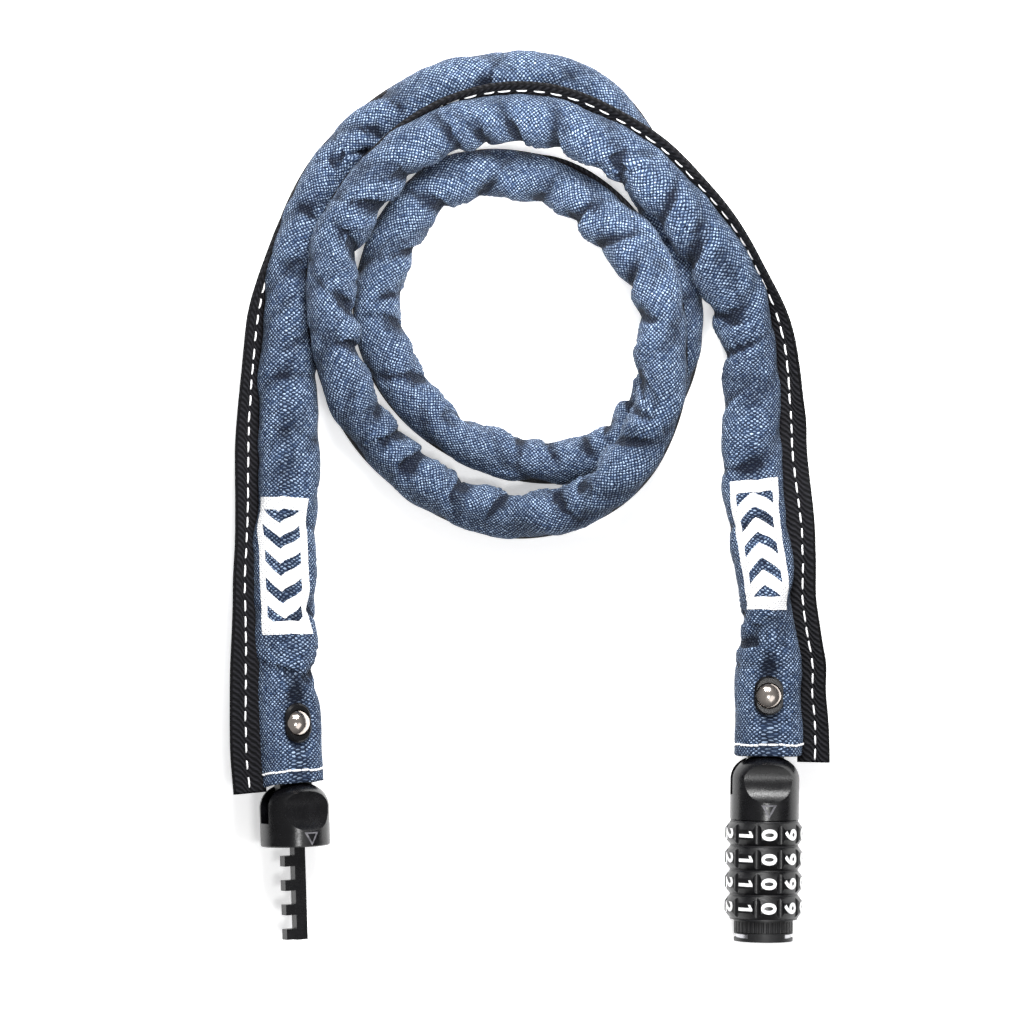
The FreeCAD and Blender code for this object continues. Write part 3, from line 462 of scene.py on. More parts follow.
def make_sleeve():
    """The woven cover, with its fold heights as an attribute from which the material paints shade
    into the creases.
    """
    u = PERIMETER * np.arange(AROUND + 1) / AROUND
    obj = tube("fabric_sleeve", SLEEVE, u, AT)
    fold = obj.data.attributes.new("fold", "FLOAT", "POINT")
    fold.data.foreach_set("value", fold_height().astype(np.float32).ravel())
    wall = obj.modifiers.new("wall", "SOLIDIFY")
    wall.thickness = FABRIC_WALL * MM
    wall.offset = -1.0
    return obj


# ---- tape ----
# Turn of the tape's width from flat to upright, its width and its height above the sleeve's
# middle, by distance from the lock's mouth, then by distance from the bolt's.
TAPE = [
    (-6.5, 26, 8.6, -1.2), (10.0, 24, 8.4, -0.8), (16.0, 36, 8.4, -0.4), (22.0, 46, 8.4, -0.2),
    (31.0, 26, 8.4, 0.0), (38.0, 36, 8.4, 0.0), (47.0, 32, 8.4, 0.0), (58.0, 14, 8.4, 0.0),
    (68.0, 0, 8.6, 0.0), (79.0, 6, 8.6, 0.0), (89.0, 34, 8.4, 0.2), (99.0, 50, 8.2, 0.4),
    (116.0, 62, 7.8, 0.6), (135.0, 70, 7.2, 0.6), (160.0, 66, 7.2, 0.8), (195.0, 62, 7.0, 0.8),
    (222.0, 84, 6.4, -0.4), (245.0, 102, 6.0, -2.4), (455.0, 100, 6.0, -2.4),
    (475.0, 84, 6.6, -0.8), (540.0, 84, 6.6, -0.8), (560.0, 100, 6.0, -2.4),
]
FAR_TAPE = [
    (-6.5, 4, 9.8, -0.4), (26.0, 4, 9.8, 0.0), (34.0, 20, 9.2, 0.0), (43.0, 36, 8.6, 0.0),
    (60.0, 36, 8.4, 0.0), (80.0, 40, 8.4, 0.0), (95.0, 48, 8.2, 0.0), (120.0, 58, 7.6, -0.2),
    (138.0, 90, 6.4, -1.8), (160.0, 104, 6.0, -2.6),
]
TAPE_THICK = 1.5
SEAM_IN = 1.4                 # the tape's inner edge lies this far inside the fabric's outline
STITCH_PITCH, STITCH_LENGTH, STITCH_SHARE = 4.1, 3.1, 0.56
TAPE_THREAD_R, HEM_THREAD_R = 0.26, 0.30
THREAD_LIFT = 0.12            # middle of a thread above the cloth that it is sewn into
HEM_ROW, HEM_STITCHES = 2.9, 40               # distance in from the hem's edge, and how many
# The tape's section: share of its width, and share of its thickness there.
TAPE_SECTION = [
    (0.0, 0.75), (0.1, 0.9), (0.25, 1.0), (0.4, 0.96), (0.48, 0.82), (STITCH_SHARE, 0.66),
    (0.64, 0.82), (0.75, 0.96), (0.88, 1.0), (0.96, 0.8), (1.0, 0.35),
]
# Rings of one stitch: share of its length, share of its radius, and how many radii it dips.
STITCH_RINGS = [(0, 0.25, 1.1), (0.1, 0.85, 0.4), (0.3, 1, 0.05),
                (0.7, 1, 0.05), (0.9, 0.85, 0.4), (1, 0.25, 1.1)]
STITCH_SIDES = 6


def tape_values():
    """The tape's turn, width and height at each ring."""
    near = np.stack([keyed(TAPE, k, AT) for k in (1, 2, 3)])
    far = np.stack([keyed(FAR_TAPE, k, TO_BOLT) for k in (1, 2, 3)])
    return np.stack([smoothed(v, 5) for v in np.where(AT < LENGTH / 2, near, far)])


def waver(seed, period, height):
    """Slow uneven wave along the line."""
    random = np.random.default_rng(seed)
    knots = np.arange(-20.0, LENGTH + 20.0, period)
    return smoothed(np.interp(AT, knots, random.normal(0, height, len(knots))), period / 3)


TURN, TAPE_WIDE, TAPE_UP = tape_values()
TURN = np.radians(TURN + waver(3, 16.0, 4.0))
TAPE_OUT = ACROSS * np.cos(TURN)[:, None] + THROUGH * np.sin(TURN)[:, None]
TAPE_FACE = THROUGH * np.cos(TURN)[:, None] - ACROSS * np.sin(TURN)[:, None]
HUG = np.clip(TURN / (np.pi / 2), 0, 1)
TAPE_ROOT = (LINE + ACROSS * (OUTER - SEAM_IN + HUG * 1.4 + waver(4, 12.0, 0.12))[:, None]
             + THROUGH * (TAPE_UP - HUG * TAPE_WIDE * 0.42)[:, None])


def tape_point(index, share, lift):
    """Point of the tape at a ring (a real number), a share of its width and a height above it."""
    low = np.clip(np.floor(index).astype(int), 0, RINGS - 2)
    t = (index - low)[:, None]
    values = [v[low] * (1 - t) + v[low + 1] * t for v in (TAPE_ROOT, TAPE_OUT, TAPE_FACE)]
    wide = np.interp(index, np.arange(RINGS), TAPE_WIDE)
    return values[0] + values[1] * (wide * share)[:, None] + values[2] * np.asarray(lift)[:, None]


def stitch_row(at):
    """Share of the tape's width where its stitches run, at a distance from the lock's mouth."""
    return STITCH_SHARE + 0.02 * np.sin(at / 23.0) + 0.015 * np.sin(at / 7.3 + 1.0)


def make_tape():
    """The folded binding tape, thinner and puckered along its stitches."""
    shares, thick = np.array(TAPE_SECTION).T
    top = np.concatenate([shares, shares[::-1]])
    height = np.concatenate([thick, -thick[::-1]]) * TAPE_THICK / 2
    index = np.linspace(-2.2, RINGS + 1.2, RINGS)
    at = AT[0] + index * STEP
    pucker = 0.07 * np.cos(2 * np.pi * at / STITCH_PITCH)
    rings = []
    for share, lift in zip(top, height):
        near = math.exp(-((share - STITCH_SHARE) / 0.14) ** 2)
        rings.append(tape_point(index, share, lift + np.sign(lift) * pucker * near))
    rings = np.stack(rings[::-1], axis=1)
    rings[..., 2] = np.maximum(rings[..., 2], 0.15)
    around = np.concatenate([top, [top[0]]]) * 8.0
    around[len(shares):] += 20.0
    return tube("tape", rings, around[::-1], at, caps=True)


def stitch_rings(a, b, radius):
    """Rings of a small stitch from a to b, and how far each one dips."""
    along = unit(b - a)
    side = unit(np.cross(along, UP + 0.01))
    up = np.cross(side, along)
    turns = [2 * math.pi * k / STITCH_SIDES for k in range(STITCH_SIDES)]
    for share, size, drop in STITCH_RINGS:
        centre = a + (b - a) * share
        circle = [centre + (side * math.cos(t) + up * math.sin(t)) * radius * size for t in turns]
        yield np.array(circle), drop * radius


def make_stitches(name, runs, radius):
    """All stitches of one row as one mesh. runs: pairs of end points and the direction down."""
    vertices, faces = [], []
    for a, b, down in runs:
        base = len(vertices)
        for ring, drop in stitch_rings(a, b, radius):
            vertices += list(ring + down * drop)
        last = base + (len(STITCH_RINGS) - 1) * STITCH_SIDES
        for low in range(base, last, STITCH_SIDES):
            high = low + STITCH_SIDES
            for j in range(STITCH_SIDES):
                k = (j + 1) % STITCH_SIDES
                faces.append((low + j, high + j, high + k, low + k))
        faces.append(tuple(base + j for j in range(STITCH_SIDES)))
        faces.append(tuple(last + j for j in range(STITCH_SIDES - 1, -1, -1)))
    return new_object(name, vertices, faces)


def tape_stitches():
    """The white row along the whole tape."""
    random = np.random.default_rng(5)
    runs = []
    at = AT[0] - 1.2
    while at < AT[-1] - STITCH_LENGTH + 1.7:
        ends = np.array([at, at + STITCH_LENGTH * random.uniform(0.85, 1.05)])
        share = stitch_row(ends) + random.normal(0, 0.006, 2)
        index = (ends - AT[0]) / STEP
        a, b = tape_point(index, share, np.full(2, TAPE_THICK / 2 * 0.66 + THREAD_LIFT))
        face = TAPE_FACE[max(int(index[0]), 0)]
        runs.append((a, b, -face))
        at += STITCH_PITCH * random.uniform(0.93, 1.07)
    return make_stitches("tape_stitches", runs, TAPE_THREAD_R)


def sleeve_point(at, angle, lift):
    """Point of the fabric at a distance and an angle round it, lifted off it."""
    i = np.clip((at - AT[0]) / STEP, 0, RINGS - 1.001)
    j = (angle / (2 * math.pi) * AROUND) % AROUND
    i0, j0 = int(i), int(j)
    s, t = i - i0, j - j0
    near, far = (SLEEVE[row, j0] * (1 - t) + SLEEVE[row, (j0 + 1) % AROUND] * t
                 for row in (i0, i0 + 1))
    round_it = SLEEVE[i0, (j0 + 1) % AROUND] - SLEEVE[i0, j0]
    out = unit(np.cross(ALONG[i0], round_it))
    return near * (1 - s) + far * s + out * lift, out


def hem_stitches(name, at_hem, towards):
    """Closely sewn row right round the hem."""
    random = np.random.default_rng(8)
    runs = []
    pitch = 2 * math.pi / HEM_STITCHES
    for k in range(HEM_STITCHES):
        inward = HEM_ROW + 0.16 * math.sin(k * 0.9) + random.normal(0, 0.05)
        a, out = sleeve_point(at_hem + towards * inward, pitch * k, THREAD_LIFT)
        inward += random.normal(0, 0.08)
        b, _ = sleeve_point(at_hem + towards * inward, pitch * (k + 1.05), THREAD_LIFT)
        runs.append((a, b, -out))
    return make_stitches(name, runs, HEM_THREAD_R)


# ---- numbers on the dials ----

def end_matrix(first, second, tilt, roll):
    """Frame of a chain end, in millimetres: origin on the clevis pin, Z away from the chain."""
    first, second = Vector(first), Vector(second)
    pin = first + (first - second).normalized() * MOUTH_AT
    lie_down = Matrix.Rotation(math.radians(tilt), 4, "Z") @ Matrix.Rotation(math.pi / 2, 4, "X")
    return Matrix.Translation(pin) @ lie_down @ Matrix.Rotation(math.radians(-roll), 4, "Z")


LOCK = end_matrix(ROUTE[0], ROUTE[1], LOCK_TILT, LOCK_ROLL)
BOLT = end_matrix(ROUTE[-1], ROUTE[-2], BOLT_TILT, BOLT_ROLL)
DIGIT_HEIGHT, DIGIT_WIDTH, DIGIT_RAISED = 4.1, 3.0, 0.05
DIGIT_SLICE = 0.3             # the numbers are cut this fine, so that they bend
DIGIT_TURN = 36.0             # from one number to the next


def sliced(shape):
    """A number cut across at even heights, so that it can be bent."""
    for cut in np.arange(-DIGIT_HEIGHT / 2 + DIGIT_SLICE, DIGIT_HEIGHT / 2, DIGIT_SLICE):
        everything = shape.verts[:] + shape.edges[:] + shape.faces[:]
        bmesh.ops.bisect_plane(shape, geom=everything, plane_co=(0, cut, 0), plane_no=(0, 1, 0))
    bmesh.ops.triangulate(shape, faces=shape.faces[:])
    shape.verts.index_update()
    return shape


def flat_one():
    """A plain flagged 1 of the same weight as the other numbers."""
    outline = [(-0.1, -2.05), (0.75, -2.05), (0.75, 2.05), (0.2, 2.05), (-0.9, 1.45),
               (-0.9, 0.85), (-0.1, 1.2)]
    shape = bmesh.new()
    shape.faces.new([shape.verts.new((x, y, -DIGIT_RAISED / 2)) for x, y in outline])
    shape.normal_update()
    bmesh.ops.triangulate(shape, faces=shape.faces[:])
    grown = bmesh.ops.extrude_face_region(shape, geom=shape.faces[:])
    for item in grown["geom"]:
        if isinstance(item, bmesh.types.BMVert):
            item.co.z += DIGIT_RAISED
    bmesh.ops.recalc_face_normals(shape, faces=shape.faces[:])
    return shape


def flat_digit(character):
    """A number as a thin bmesh, its height along Y, centred, in millimetres."""
    if character == "1":
        return sliced(flat_one())
    text = bpy.data.curves.new("number", "FONT")
    text.body = character
    text.align_x, text.align_y = "CENTER", "CENTER"
    text.size = 5.0
    text.offset = 0.16
    text.extrude = DIGIT_RAISED / 2
    text.resolution_u = 6
    holder = bpy.data.objects.new("number", text)
    mesh = bpy.data.meshes.new_from_object(holder)
    shape = bmesh.new()
    shape.from_mesh(mesh)
    bpy.data.objects.remove(holder)
    bpy.data.curves.remove(text)
    bpy.data.meshes.remove(mesh)
    xs, ys = [v.co.x for v in shape.verts], [v.co.y for v in shape.verts]
    middle = Vector(((min(xs) + max(xs)) / 2, (min(ys) + max(ys)) / 2, 0))
    scale_x, scale_y = DIGIT_WIDTH / (max(xs) - min(xs)), DIGIT_HEIGHT / (max(ys) - min(ys))
    for v in shape.verts:
        v.co -= middle
        v.co.x *= scale_x
        v.co.y *= scale_y
    return sliced(shape)


def number_ring(name, middle):
    """All ten numbers of one dial, bent onto its pads, with their tops towards local +X."""
    vertices, faces = [], []
    for digit in range(10):
        shape = flat_digit(str(digit))
        base = len(vertices)
        shape.verts.ensure_lookup_table()
        for v in shape.verts:
            turn = math.radians(-DIGIT_TURN * digit) + v.co.y / DIAL_R
            radius = DIAL_R + DIGIT_RAISED / 2 + v.co.z
            place = LOCK @ Vector((radius * math.sin(turn), radius * math.cos(turn),
                                   middle + v.co.x))
            vertices.append(place[:])
        faces += [tuple(base + v.index for v in f.verts) for f in shape.faces]
        shape.free()
    return new_object(name, vertices, faces, smooth=False)


# ---- triangle marks in front of the scoops ----

def mark_outline(half, top, tip):
    """Corners of a triangle on the head, as X and Z."""
    return [(half, top), (-half, top), (0.0, tip)]


def head_mark(name, matrix, radius):
    """Thin filled line of the engraved triangle, bent to the head's side."""
    outer = mark_outline(MARK_HALF, MARK_TOP, MARK_TIP)
    inner = mark_outline(MARK_HALF - 2 * MARK_LINE, MARK_TOP + MARK_LINE, MARK_TIP - 2 * MARK_LINE)
    steps = 12
    vertices, faces = [], []
    for lift in (-MARK_FILL, 0.0):
        for side in range(3):
            for k in range(steps):
                for corners in (outer, inner):
                    (x0, z0), (x1, z1) = corners[side], corners[(side + 1) % 3]
                    x, z = x0 + (x1 - x0) * k / steps, z0 + (z1 - z0) * k / steps
                    y = math.sqrt(radius ** 2 - x * x) - MARK_SUNK + lift
                    vertices.append((matrix @ Vector((x, y, z)))[:])
    count = 3 * steps
    for k in range(count):
        a, b = 2 * k, 2 * ((k + 1) % count)
        low, high = 0, 2 * count
        faces += [(high + a, high + b, high + b + 1, high + a + 1),
                  (low + a, low + a + 1, low + b + 1, low + b),
                  (low + a, low + b, high + b, high + a),
                  (low + a + 1, high + a + 1, high + b + 1, low + b + 1)]
    return new_object(name, vertices, faces, smooth=False)


# ---- materials ----

class Tree:
    """Short calls for a material's nodes."""

    def __init__(self, name):
        self.material = bpy.data.materials.new(name)
        self.material.use_nodes = True
        self.tree = self.material.node_tree
        self.tree.nodes.clear()
        self.shader = self.node("ShaderNodeBsdfPrincipled")
        output = self.node("ShaderNodeOutputMaterial")
        self.link(self.shader.outputs[0], output.inputs["Surface"])

    def node(self, kind, **settings):
        node = self.tree.nodes.new(kind)
        for key, value in settings.items():
            setattr(node, key, value)
        return node

    def link(self, source, target):
        if hasattr(source, "is_output"):
            self.tree.links.new(source, target)
        else:
            target.default_value = source

    def math(self, operation, *values, clamp=False):
        node = self.node("ShaderNodeMath", operation=operation, use_clamp=clamp)
        for value, socket in zip(values, node.inputs):
            self.link(value, socket)
        return node.outputs[0]

    def mix(self, factor, a, b):
        node = self.node("ShaderNodeMix", data_type="RGBA")
        self.link(factor, node.inputs["Factor"])
        for value, socket in ((a, node.inputs["A"]), (b, node.inputs["B"])):
            value = value if hasattr(value, "is_output") else (*value, 1.0)
            self.link(value, socket)
        return node.outputs["Result"]

    def noise(self, vector, scale, detail=3.0, rough=0.55):
        node = self.node("ShaderNodeTexNoise")
        self.link(vector, node.inputs["Vector"])
        node.inputs["Scale"].default_value = scale
        node.inputs["Detail"].default_value = detail
        node.inputs["Roughness"].default_value = rough
        return node.outputs["Fac"]

    def spread(self, value, low, high, to_low, to_high):
        node = self.node("ShaderNodeMapRange", clamp=True)
        for item, socket in zip((value, low, high, to_low, to_high), node.inputs):
            self.link(item, socket)
        return node.outputs[0]

    def combined(self, x, y, z=0.0):
        node = self.node("ShaderNodeCombineXYZ")
        for value, socket in zip((x, y, z), node.inputs):
            self.link(value, socket)
        return node.outputs[0]

    def place(self):
        return self.node("ShaderNodeTexCoord").outputs["Object"]

    def weave_place(self):
        """Distance round the piece and along it, in millimetres."""
        uv = self.node("ShaderNodeUVMap", uv_map="weave").outputs[0]
        split = self.node("ShaderNodeSeparateXYZ")
        self.link(uv, split.inputs[0])
        return split.outputs[0], split.outputs[1]

    def bump(self, height, distance, strength=1.0, normal=None):
        node = self.node("ShaderNodeBump")
        node.inputs["Strength"].default_value = strength
        node.inputs["Distance"].default_value = distance
        self.link(height, node.inputs["Height"])
        if normal is not None:
            self.link(normal, node.inputs["Normal"])
        return node.outputs[0]

    def finish(self, **sockets):
        for key, value in sockets.items():
            socket = self.shader.inputs[key.replace("_", " ")]
            if isinstance(value, tuple) and len(value) == 3:
                value = (*value, 1.0)
            self.link(value, socket)
        return self.material


def tone(red, green, blue):
    """Linear colour from 0 to 255 screen values."""
    return tuple(((c / 255 + 0.055) / 1.055) ** 2.4 if c > 10 else c / 255 / 12.92
                 for c in (red, green, blue))


NAVY, DENIM, PALE = tone(12, 19, 36), tone(66, 86, 118), tone(184, 206, 234)
# The second colour is painted shade, which the fabric's creases are darkened towards.
PRINT, CREASE_SHADE = tone(252, 252, 253), tone(8, 12, 24)
THREAD = 0.54                 # pitch of the weave's yarns
BAND = 7.2                    # width of one herringbone band
RIB_PITCH, YARN_PITCH = 0.95, 0.42            # of the tape's twill
# Printed patches: middle round from the seam and along the sleeve, half width, half length.
PATCHES = [(10.8, 51.1, 5.7, 17.4), (9.0, LENGTH - 52.8, 5.7, 18.0)]
PATCH_SIDE, PATCH_END = 2.0, 3.4              # plain border beside the chevrons, and past them
CHEVRON_PITCH, CHEVRON_SHARE = 7.0, 0.44


def weave(t, u, v, heather):
    """Height of the weave, its raised yarns, and how light each yarn is."""
    band = t.math("FRACT", t.math("DIVIDE", u, 2 * BAND))
    lean = t.math("SUBTRACT", t.math("MULTIPLY", t.math("GREATER_THAN", band, 0.5), 2.0), 1.0)
    x, y = t.math("DIVIDE", u, THREAD), t.math("DIVIDE", v, THREAD)
    wobble = t.noise(t.combined(u, v), 0.35, 2.0)
    jitter = t.noise(t.combined(v, u), 0.8, 2.0)
    x = t.math("ADD", x, t.math("MULTIPLY", wobble, 2.6))
    y = t.math("ADD", y, t.math("MULTIPLY", jitter, 1.6))
    i, j = t.math("FLOOR", x), t.math("FLOOR", y)
    across = t.math("SUBTRACT", t.math("FRACT", x), 0.5)
    down = t.math("SUBTRACT", t.math("FRACT", y), 0.5)
    over = t.math("LESS_THAN", t.math("FLOORED_MODULO", t.math("ADD", i, j), 2.0), 0.5)
    apart = t.math("ADD", t.math("MULTIPLY", across, across), t.math("MULTIPLY", down, down))
    crown = t.math("SUBTRACT", 1.0, t.math("MULTIPLY", apart, 3.4), clamp=True)
    knot = t.math("MULTIPLY", over, crown)
    height = t.math("ADD", t.math("MULTIPLY", knot, 0.8), t.math("MULTIPLY", crown, 0.2))
    cell = t.node("ShaderNodeTexWhiteNoise", noise_dimensions="3D")
    t.link(t.combined(i, j), cell.inputs["Vector"])
    twill = t.math("FLOORED_MODULO", t.math("ADD", i, t.math("MULTIPLY", lean, j)), 6.0)
    twill = t.math("LESS_THAN", twill, 2.5)
    light = t.math("ADD", t.math("MULTIPLY", cell.outputs["Value"], 0.75),
                   t.math("MULTIPLY", twill, 0.22))
    return height, knot, t.math("MULTIPLY", light, t.spread(heather, 0.32, 0.62, 0.6, 1.15))


def within(t, offset, half):
    """1 where an offset is less than half, either way."""
    return t.math("LESS_THAN", t.math("ABSOLUTE", offset), half)


def printed_patch(t, u, v, round_at, along_at, half_wide, half_long):
    """1 on the print of one patch: a rough-edged block with a row of chevrons left out."""
    du, dv = t.math("SUBTRACT", u, round_at), t.math("SUBTRACT", v, along_at)
    rough = t.math("MULTIPLY", t.math("SUBTRACT", t.noise(t.combined(u, v), 2.2), 0.5), 0.5)
    sides = [t.math("LESS_THAN", t.math("ADD", t.math("ABSOLUTE", offset), rough), half)
             for offset, half in ((du, half_wide), (dv, half_long))]
    wave = t.math("ADD", dv, t.math("ABSOLUTE", du))
    wave = t.math("FRACT", t.math("DIVIDE", wave, CHEVRON_PITCH))
    field = t.math("MULTIPLY", within(t, du, half_wide - PATCH_SIDE),
                   within(t, dv, half_long - PATCH_END))
    chevrons = t.math("MULTIPLY", field, t.math("LESS_THAN", wave, CHEVRON_SHARE))
    return t.math("MULTIPLY", t.math("MULTIPLY", *sides), t.math("SUBTRACT", 1.0, chevrons))


def fabric():
    """Heathered herringbone in two blues with two printed patches, and painted shade in its
    creases.
    """
    t = Tree("sleeve_fabric")
    u, v = t.weave_place()
    heather = t.noise(t.combined(t.math("MULTIPLY", u, 1.2), t.math("MULTIPLY", v, 0.5)), 1.0, 4.0)
    height, knot, light = weave(t, u, v, heather)
    yarn = t.mix(light, DENIM, PALE)
    weft = t.mix(t.spread(heather, 0.3, 0.7, 0.0, 0.5), NAVY, DENIM)
    colour = t.mix(t.spread(knot, 0.1, 0.6, 0.0, 1.0), weft, yarn)
    cloud = t.noise(t.combined(u, v), 0.09, 3.0)
    colour = t.mix(t.spread(cloud, 0.4, 0.62, 0.0, 0.34), colour, NAVY)
    # Painted shade: the fabric is darker where it lies below the fabric around it, in its creases.
    fold = t.node("ShaderNodeAttribute", attribute_name="fold").outputs["Fac"]
    colour = t.mix(t.spread(fold, -0.55, 0.02, 0.08, 1.0), CREASE_SHADE, colour)
    printed = t.math("MAXIMUM", *[printed_patch(t, u, v, *patch) for patch in PATCHES])
    pits = t.spread(t.math("MULTIPLY", height, t.spread(heather, 0.2, 0.5, 0.75, 1.0)),
                    0.05, 0.35, 0.6, 1.0)
    colour = t.mix(t.math("MULTIPLY", printed, pits), colour, PRINT)
    fuzz = t.noise(t.combined(t.math("MULTIPLY", u, 4.0), t.math("MULTIPLY", v, 4.0)), 1.0, 2.0)
    height = t.math("ADD", height, t.math("MULTIPLY", fuzz, 0.35))
    return t.finish(Base_Color=colour, Roughness=t.spread(heather, 0.3, 0.7, 0.78, 0.95),
                    Normal=t.bump(height, 0.0003), Sheen_Weight=0.06, Sheen_Roughness=0.45,
                    Sheen_Tint=(0.75, 0.85, 1.0), Specular_IOR_Level=0.1)


def tape_cloth():
    """Black twill binding with slanting ribs, their crests painted lighter as a highlight, and
    darker in random patches.
    """
    t = Tree("tape_twill")
    u, v = t.weave_place()
    slant = t.math("ADD", t.math("MULTIPLY", u, 0.75), t.math("MULTIPLY", v, 0.62))
    rib = t.math("SINE", t.math("MULTIPLY", slant, 2 * math.pi / RIB_PITCH))
    yarn = t.math("SINE", t.math("MULTIPLY", v, 2 * math.pi / YARN_PITCH))
    height = t.math("ADD", t.math("MULTIPLY", rib, 0.5), t.math("MULTIPLY", yarn, 0.14))
    dust = t.noise(t.combined(u, v), 0.8, 4.0)
    # Painted highlight: lighter on the crests of the ribs, and darker at random where the dust
    # noise is low.
    rib_highlight_and_dust = t.math("MULTIPLY", t.spread(rib, -0.6, 0.9, 0.0, 1.0),
                   t.spread(dust, 0.3, 0.7, 0.35, 1.0))
    colour = t.mix(rib_highlight_and_dust, tone(6, 6, 8), tone(38, 38, 42))
    return t.finish(Base_Color=colour, Roughness=t.spread(dust, 0.3, 0.7, 0.7, 0.9),
                    Normal=t.bump(height, 0.00022), Specular_IOR_Level=0.12)


def thread_white():
    """White sewing thread."""
    t = Tree("white_thread")
    place = t.place()
    grain = t.noise(place, 2600.0, 2.0)
    colour = t.mix(t.spread(grain, 0.3, 0.7, 0.0, 1.0), tone(205, 205, 208), tone(250, 250, 250))
    return t.finish(Base_Color=colour, Roughness=0.7, Normal=t.bump(grain, 0.00005))


def mark_fill():
    """Grey rubbed paint of the triangle marks."""
    t = Tree("mark_fill")
    wear = t.noise(t.place(), 1500.0, 3.0)
    colour = t.mix(t.spread(wear, 0.3, 0.65, 0.0, 1.0), tone(62, 61, 66), tone(104, 103, 108))
    return t.finish(Base_Color=colour, Roughness=t.spread(wear, 0.3, 0.7, 0.4, 0.6))


def number_paint():
    """White paint of the numbers, a little worn."""
    t = Tree("number_paint")
    wear = t.noise(t.place(), 900.0, 3.0)
    colour = t.mix(t.spread(wear, 0.3, 0.62, 0.0, 1.0), tone(214, 214, 216), tone(248, 248, 248))
    return t.finish(Base_Color=colour, Roughness=t.spread(wear, 0.3, 0.7, 0.35, 0.55))


def coated(name, dark, light, rough, grain, depth, metallic=0.0, specular=0.5):
    """Painted, moulded or plated surface with fine grain, cloudy tone and a little wear."""
    t = Tree(name)
    place = t.place()
    fine = t.noise(place, grain, 3.0)
    cloud = t.noise(place, grain * 0.12, 4.0)
    wear = t.math("MULTIPLY", t.spread(cloud, 0.5, 0.75, 0.0, 1.0),
                  t.spread(fine, 0.45, 0.7, 0.0, 1.0))
    colour = t.mix(wear, dark, light)
    roughness = t.math("ADD", t.spread(cloud, 0.3, 0.7, *rough),
                       t.math("MULTIPLY", t.math("SUBTRACT", fine, 0.5), 0.08))
    return t.finish(Base_Color=colour, Roughness=roughness, Metallic=metallic,
                    Specular_IOR_Level=specular, Normal=t.bump(fine, depth))


MATERIALS = {
    "chain": coated("zinc_chain", tone(150, 150, 152), tone(190, 190, 192), (0.3, 0.5),
                    900, 4e-5, metallic=1.0),
    "black_steel": coated("black_steel", tone(17, 17, 20), tone(44, 44, 48), (0.32, 0.5),
                          1200, 3e-5),
    "black_cast": coated("black_cast", tone(5, 5, 7), tone(17, 16, 20), (0.22, 0.32),
                         2200, 2e-5, specular=0.42),
    "nickel": coated("nickel", tone(196, 186, 178), tone(226, 218, 210), (0.1, 0.2),
                     700, 2e-5, metallic=1.0),
    "steel": coated("bright_steel", tone(176, 176, 180), tone(215, 215, 218), (0.22, 0.4),
                    900, 3e-5, metallic=1.0),
    "dial_plastic": coated("dial_plastic", tone(8, 8, 10), tone(24, 24, 27), (0.26, 0.4),
                           1800, 3e-5, specular=0.4),
    "black_plastic": coated("black_plastic", tone(17, 17, 19), tone(34, 34, 37), (0.4, 0.55),
                            1800, 4e-5, specular=0.4),
    "brass": coated("turned_brass", tone(176, 140, 70), tone(214, 182, 110), (0.25, 0.4),
                    900, 3e-5, metallic=1.0),
}


# ---- pieces ----

def painted(obj, material, body=None):
    """The piece with its material and the body that it rides on."""
    obj.data.materials.clear()
    obj.data.materials.append(material)
    if body:
        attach(obj, body)
    return obj


def dress_cad():
    """Materials of the CAD nodes that stay. The sleeve and the tape are replaced, and need none."""
    slots = {p["node"]: p["material_slot"] for p in frame["record"]["subparts"]}
    for name, obj in frame["nodes"].items():
        if slots[name] not in MATERIALS:
            continue
        if not obj.material_slots:
            obj.data.materials.append(None)
        for item in obj.material_slots:
            item.material = MATERIALS[slots[name]]


def build_looks():
    """Every piece, on its body and in its material."""
    dress_cad()
    sleeve = painted(make_sleeve(), fabric(), "chain")
    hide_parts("sleeve")
    tape = painted(make_tape(), tape_cloth(), "chain")
    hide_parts("binding_tape")
    white = thread_white()
    rows = [tape_stitches(), hem_stitches("lock_hem_stitches", AT[0], 1),
            hem_stitches("bolt_hem_stitches", AT[-1], -1)]
    for row in rows:
        painted(row, white, "chain")
    fill = mark_fill()
    painted(head_mark("lock_mark", LOCK, LOCK_HEAD_R), fill, "lock")
    painted(head_mark("bolt_mark", BOLT, BOLT_HEAD_R), fill, "bolt")
    paint = number_paint()
    for k in range(4):
        numbers = number_ring(f"numbers_{k + 1}", DIAL_FIRST + DIAL_PITCH * k)
        painted(numbers, paint, f"dial_{k + 1}")


# ---- stage ----

def make_floor():
    """Pale table just under the object, lit a little from within so that it shows white."""
    half, top = 2500, -0.02
    corners = [(-half, -half, top), (half, -half, top), (half, half, top), (-half, half, top)]
    floor = new_object("floor", corners, [(0, 1, 2, 3)], smooth=False)
    t = Tree("floor")
    cloud = t.noise(t.place(), 3.0, 2.0)
    colour = t.mix(cloud, (0.86, 0.86, 0.865), (0.9, 0.9, 0.9))
    painted(floor, t.finish(Base_Color=colour, Roughness=0.85, Emission_Color=(1.0, 1.0, 1.0),
                            Emission_Strength=0.46))


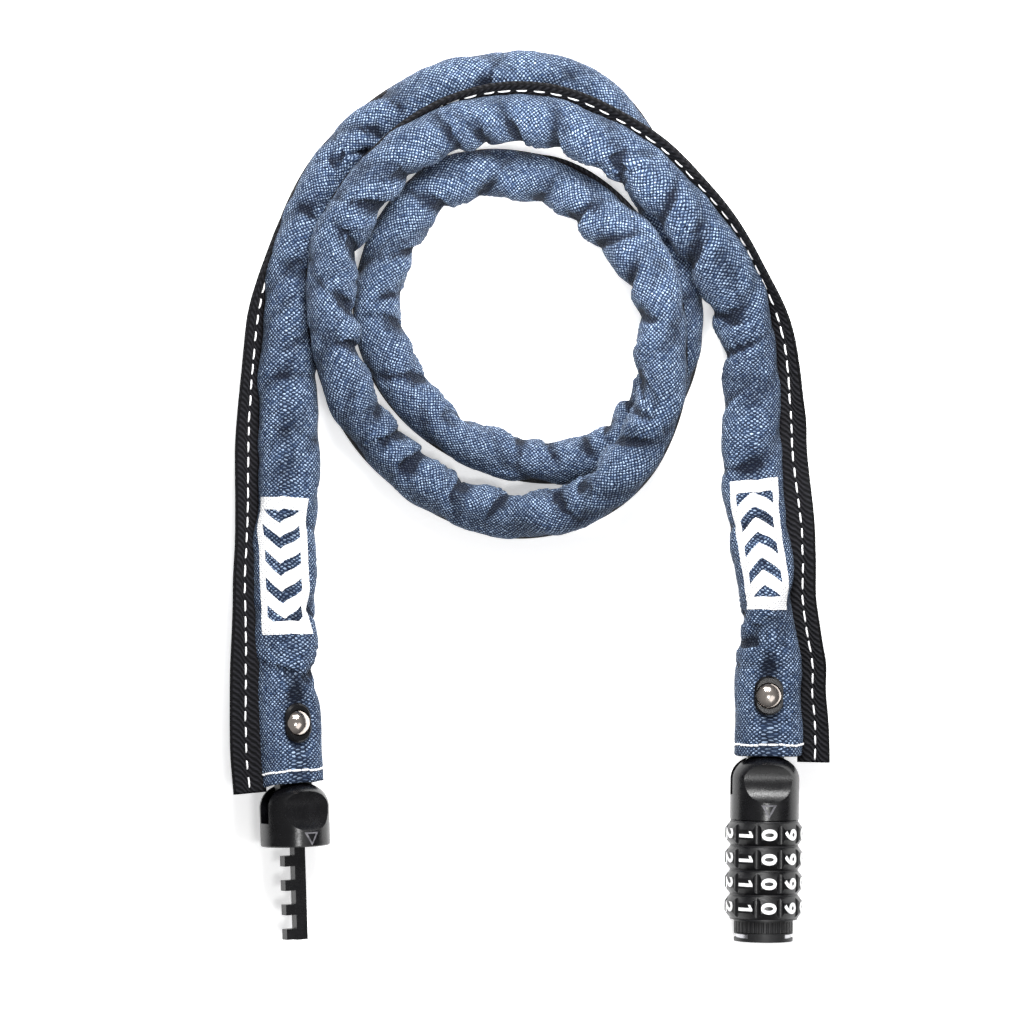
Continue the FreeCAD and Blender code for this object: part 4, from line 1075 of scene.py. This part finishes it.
def area_light(name, place, target, size, power):
    """Rectangular light that faces a target, in metres and watts."""
    light = bpy.data.lights.new(name, "AREA")
    light.shape = "RECTANGLE"
    light.size, light.size_y = size
    light.energy = power
    obj = bpy.data.objects.new(name, light)
    bpy.context.scene.collection.objects.link(obj)
    obj.location = place
    obj.rotation_mode = "QUATERNION"
    obj.rotation_quaternion = (Vector(target) - Vector(place)).to_track_quat("-Z", "Y")


def make_lights():
    """A soft main light from the top of the picture, a weak one from below, two for gloss."""
    area_light("key", (0.03, 0.29, 0.34), (0, 0.04, 0), (0.24, 0.14), 4.8)
    area_light("fill", (0.5, -0.4, 0.8), (0, 0, 0), (0.7, 0.5), 1.6)
    area_light("lift", (0.012, 0.078, 0.095), (0.002, 0.094, 0.018), (0.06, 0.02), 0.09)
    area_light("strip", (0.11, -0.16, 0.75), (0.05, -0.08, 0), (0.16, 0.05), 1.6)


def make_world():
    """Even studio surroundings, darker towards the floor."""
    world = bpy.data.worlds.new("studio")
    bpy.context.scene.world = world
    world.use_nodes = True
    nodes, links = world.node_tree.nodes, world.node_tree.links
    nodes.clear()
    background = nodes.new("ShaderNodeBackground")
    output = nodes.new("ShaderNodeOutputWorld")
    coords = nodes.new("ShaderNodeTexCoord")
    split = nodes.new("ShaderNodeSeparateXYZ")
    ramp = nodes.new("ShaderNodeValToRGB")
    links.new(coords.outputs["Generated"], split.inputs[0])
    links.new(split.outputs[2], ramp.inputs[0])
    low, high = ramp.color_ramp.elements
    low.position, low.color = 0.0, (0.30, 0.30, 0.32, 1)
    high.position, high.color = 0.75, (1.0, 1.0, 1.0, 1)
    links.new(ramp.outputs[0], background.inputs["Color"])
    background.inputs["Strength"].default_value = 0.35
    links.new(background.outputs[0], output.inputs["Surface"])


def make_camera():
    """Straight down, as far off as a long lens needs to take in 269.5 mm of the table."""
    data = bpy.data.cameras.new("camera")
    data.sensor_width = 36.0
    data.lens = 180.0
    data.clip_start, data.clip_end = 0.05, 20.0
    camera = bpy.data.objects.new("camera", data)
    bpy.context.scene.collection.objects.link(camera)
    wide, level = 0.2695, 0.008
    camera.location = (-0.00474, -0.00582, level + wide * data.lens / data.sensor_width)
    camera.rotation_euler = (0, 0, 0)
    bpy.context.scene.camera = camera


build_looks()
make_floor()
make_lights()
make_world()
make_camera()
bpy.context.scene.view_settings.view_transform = "Standard"
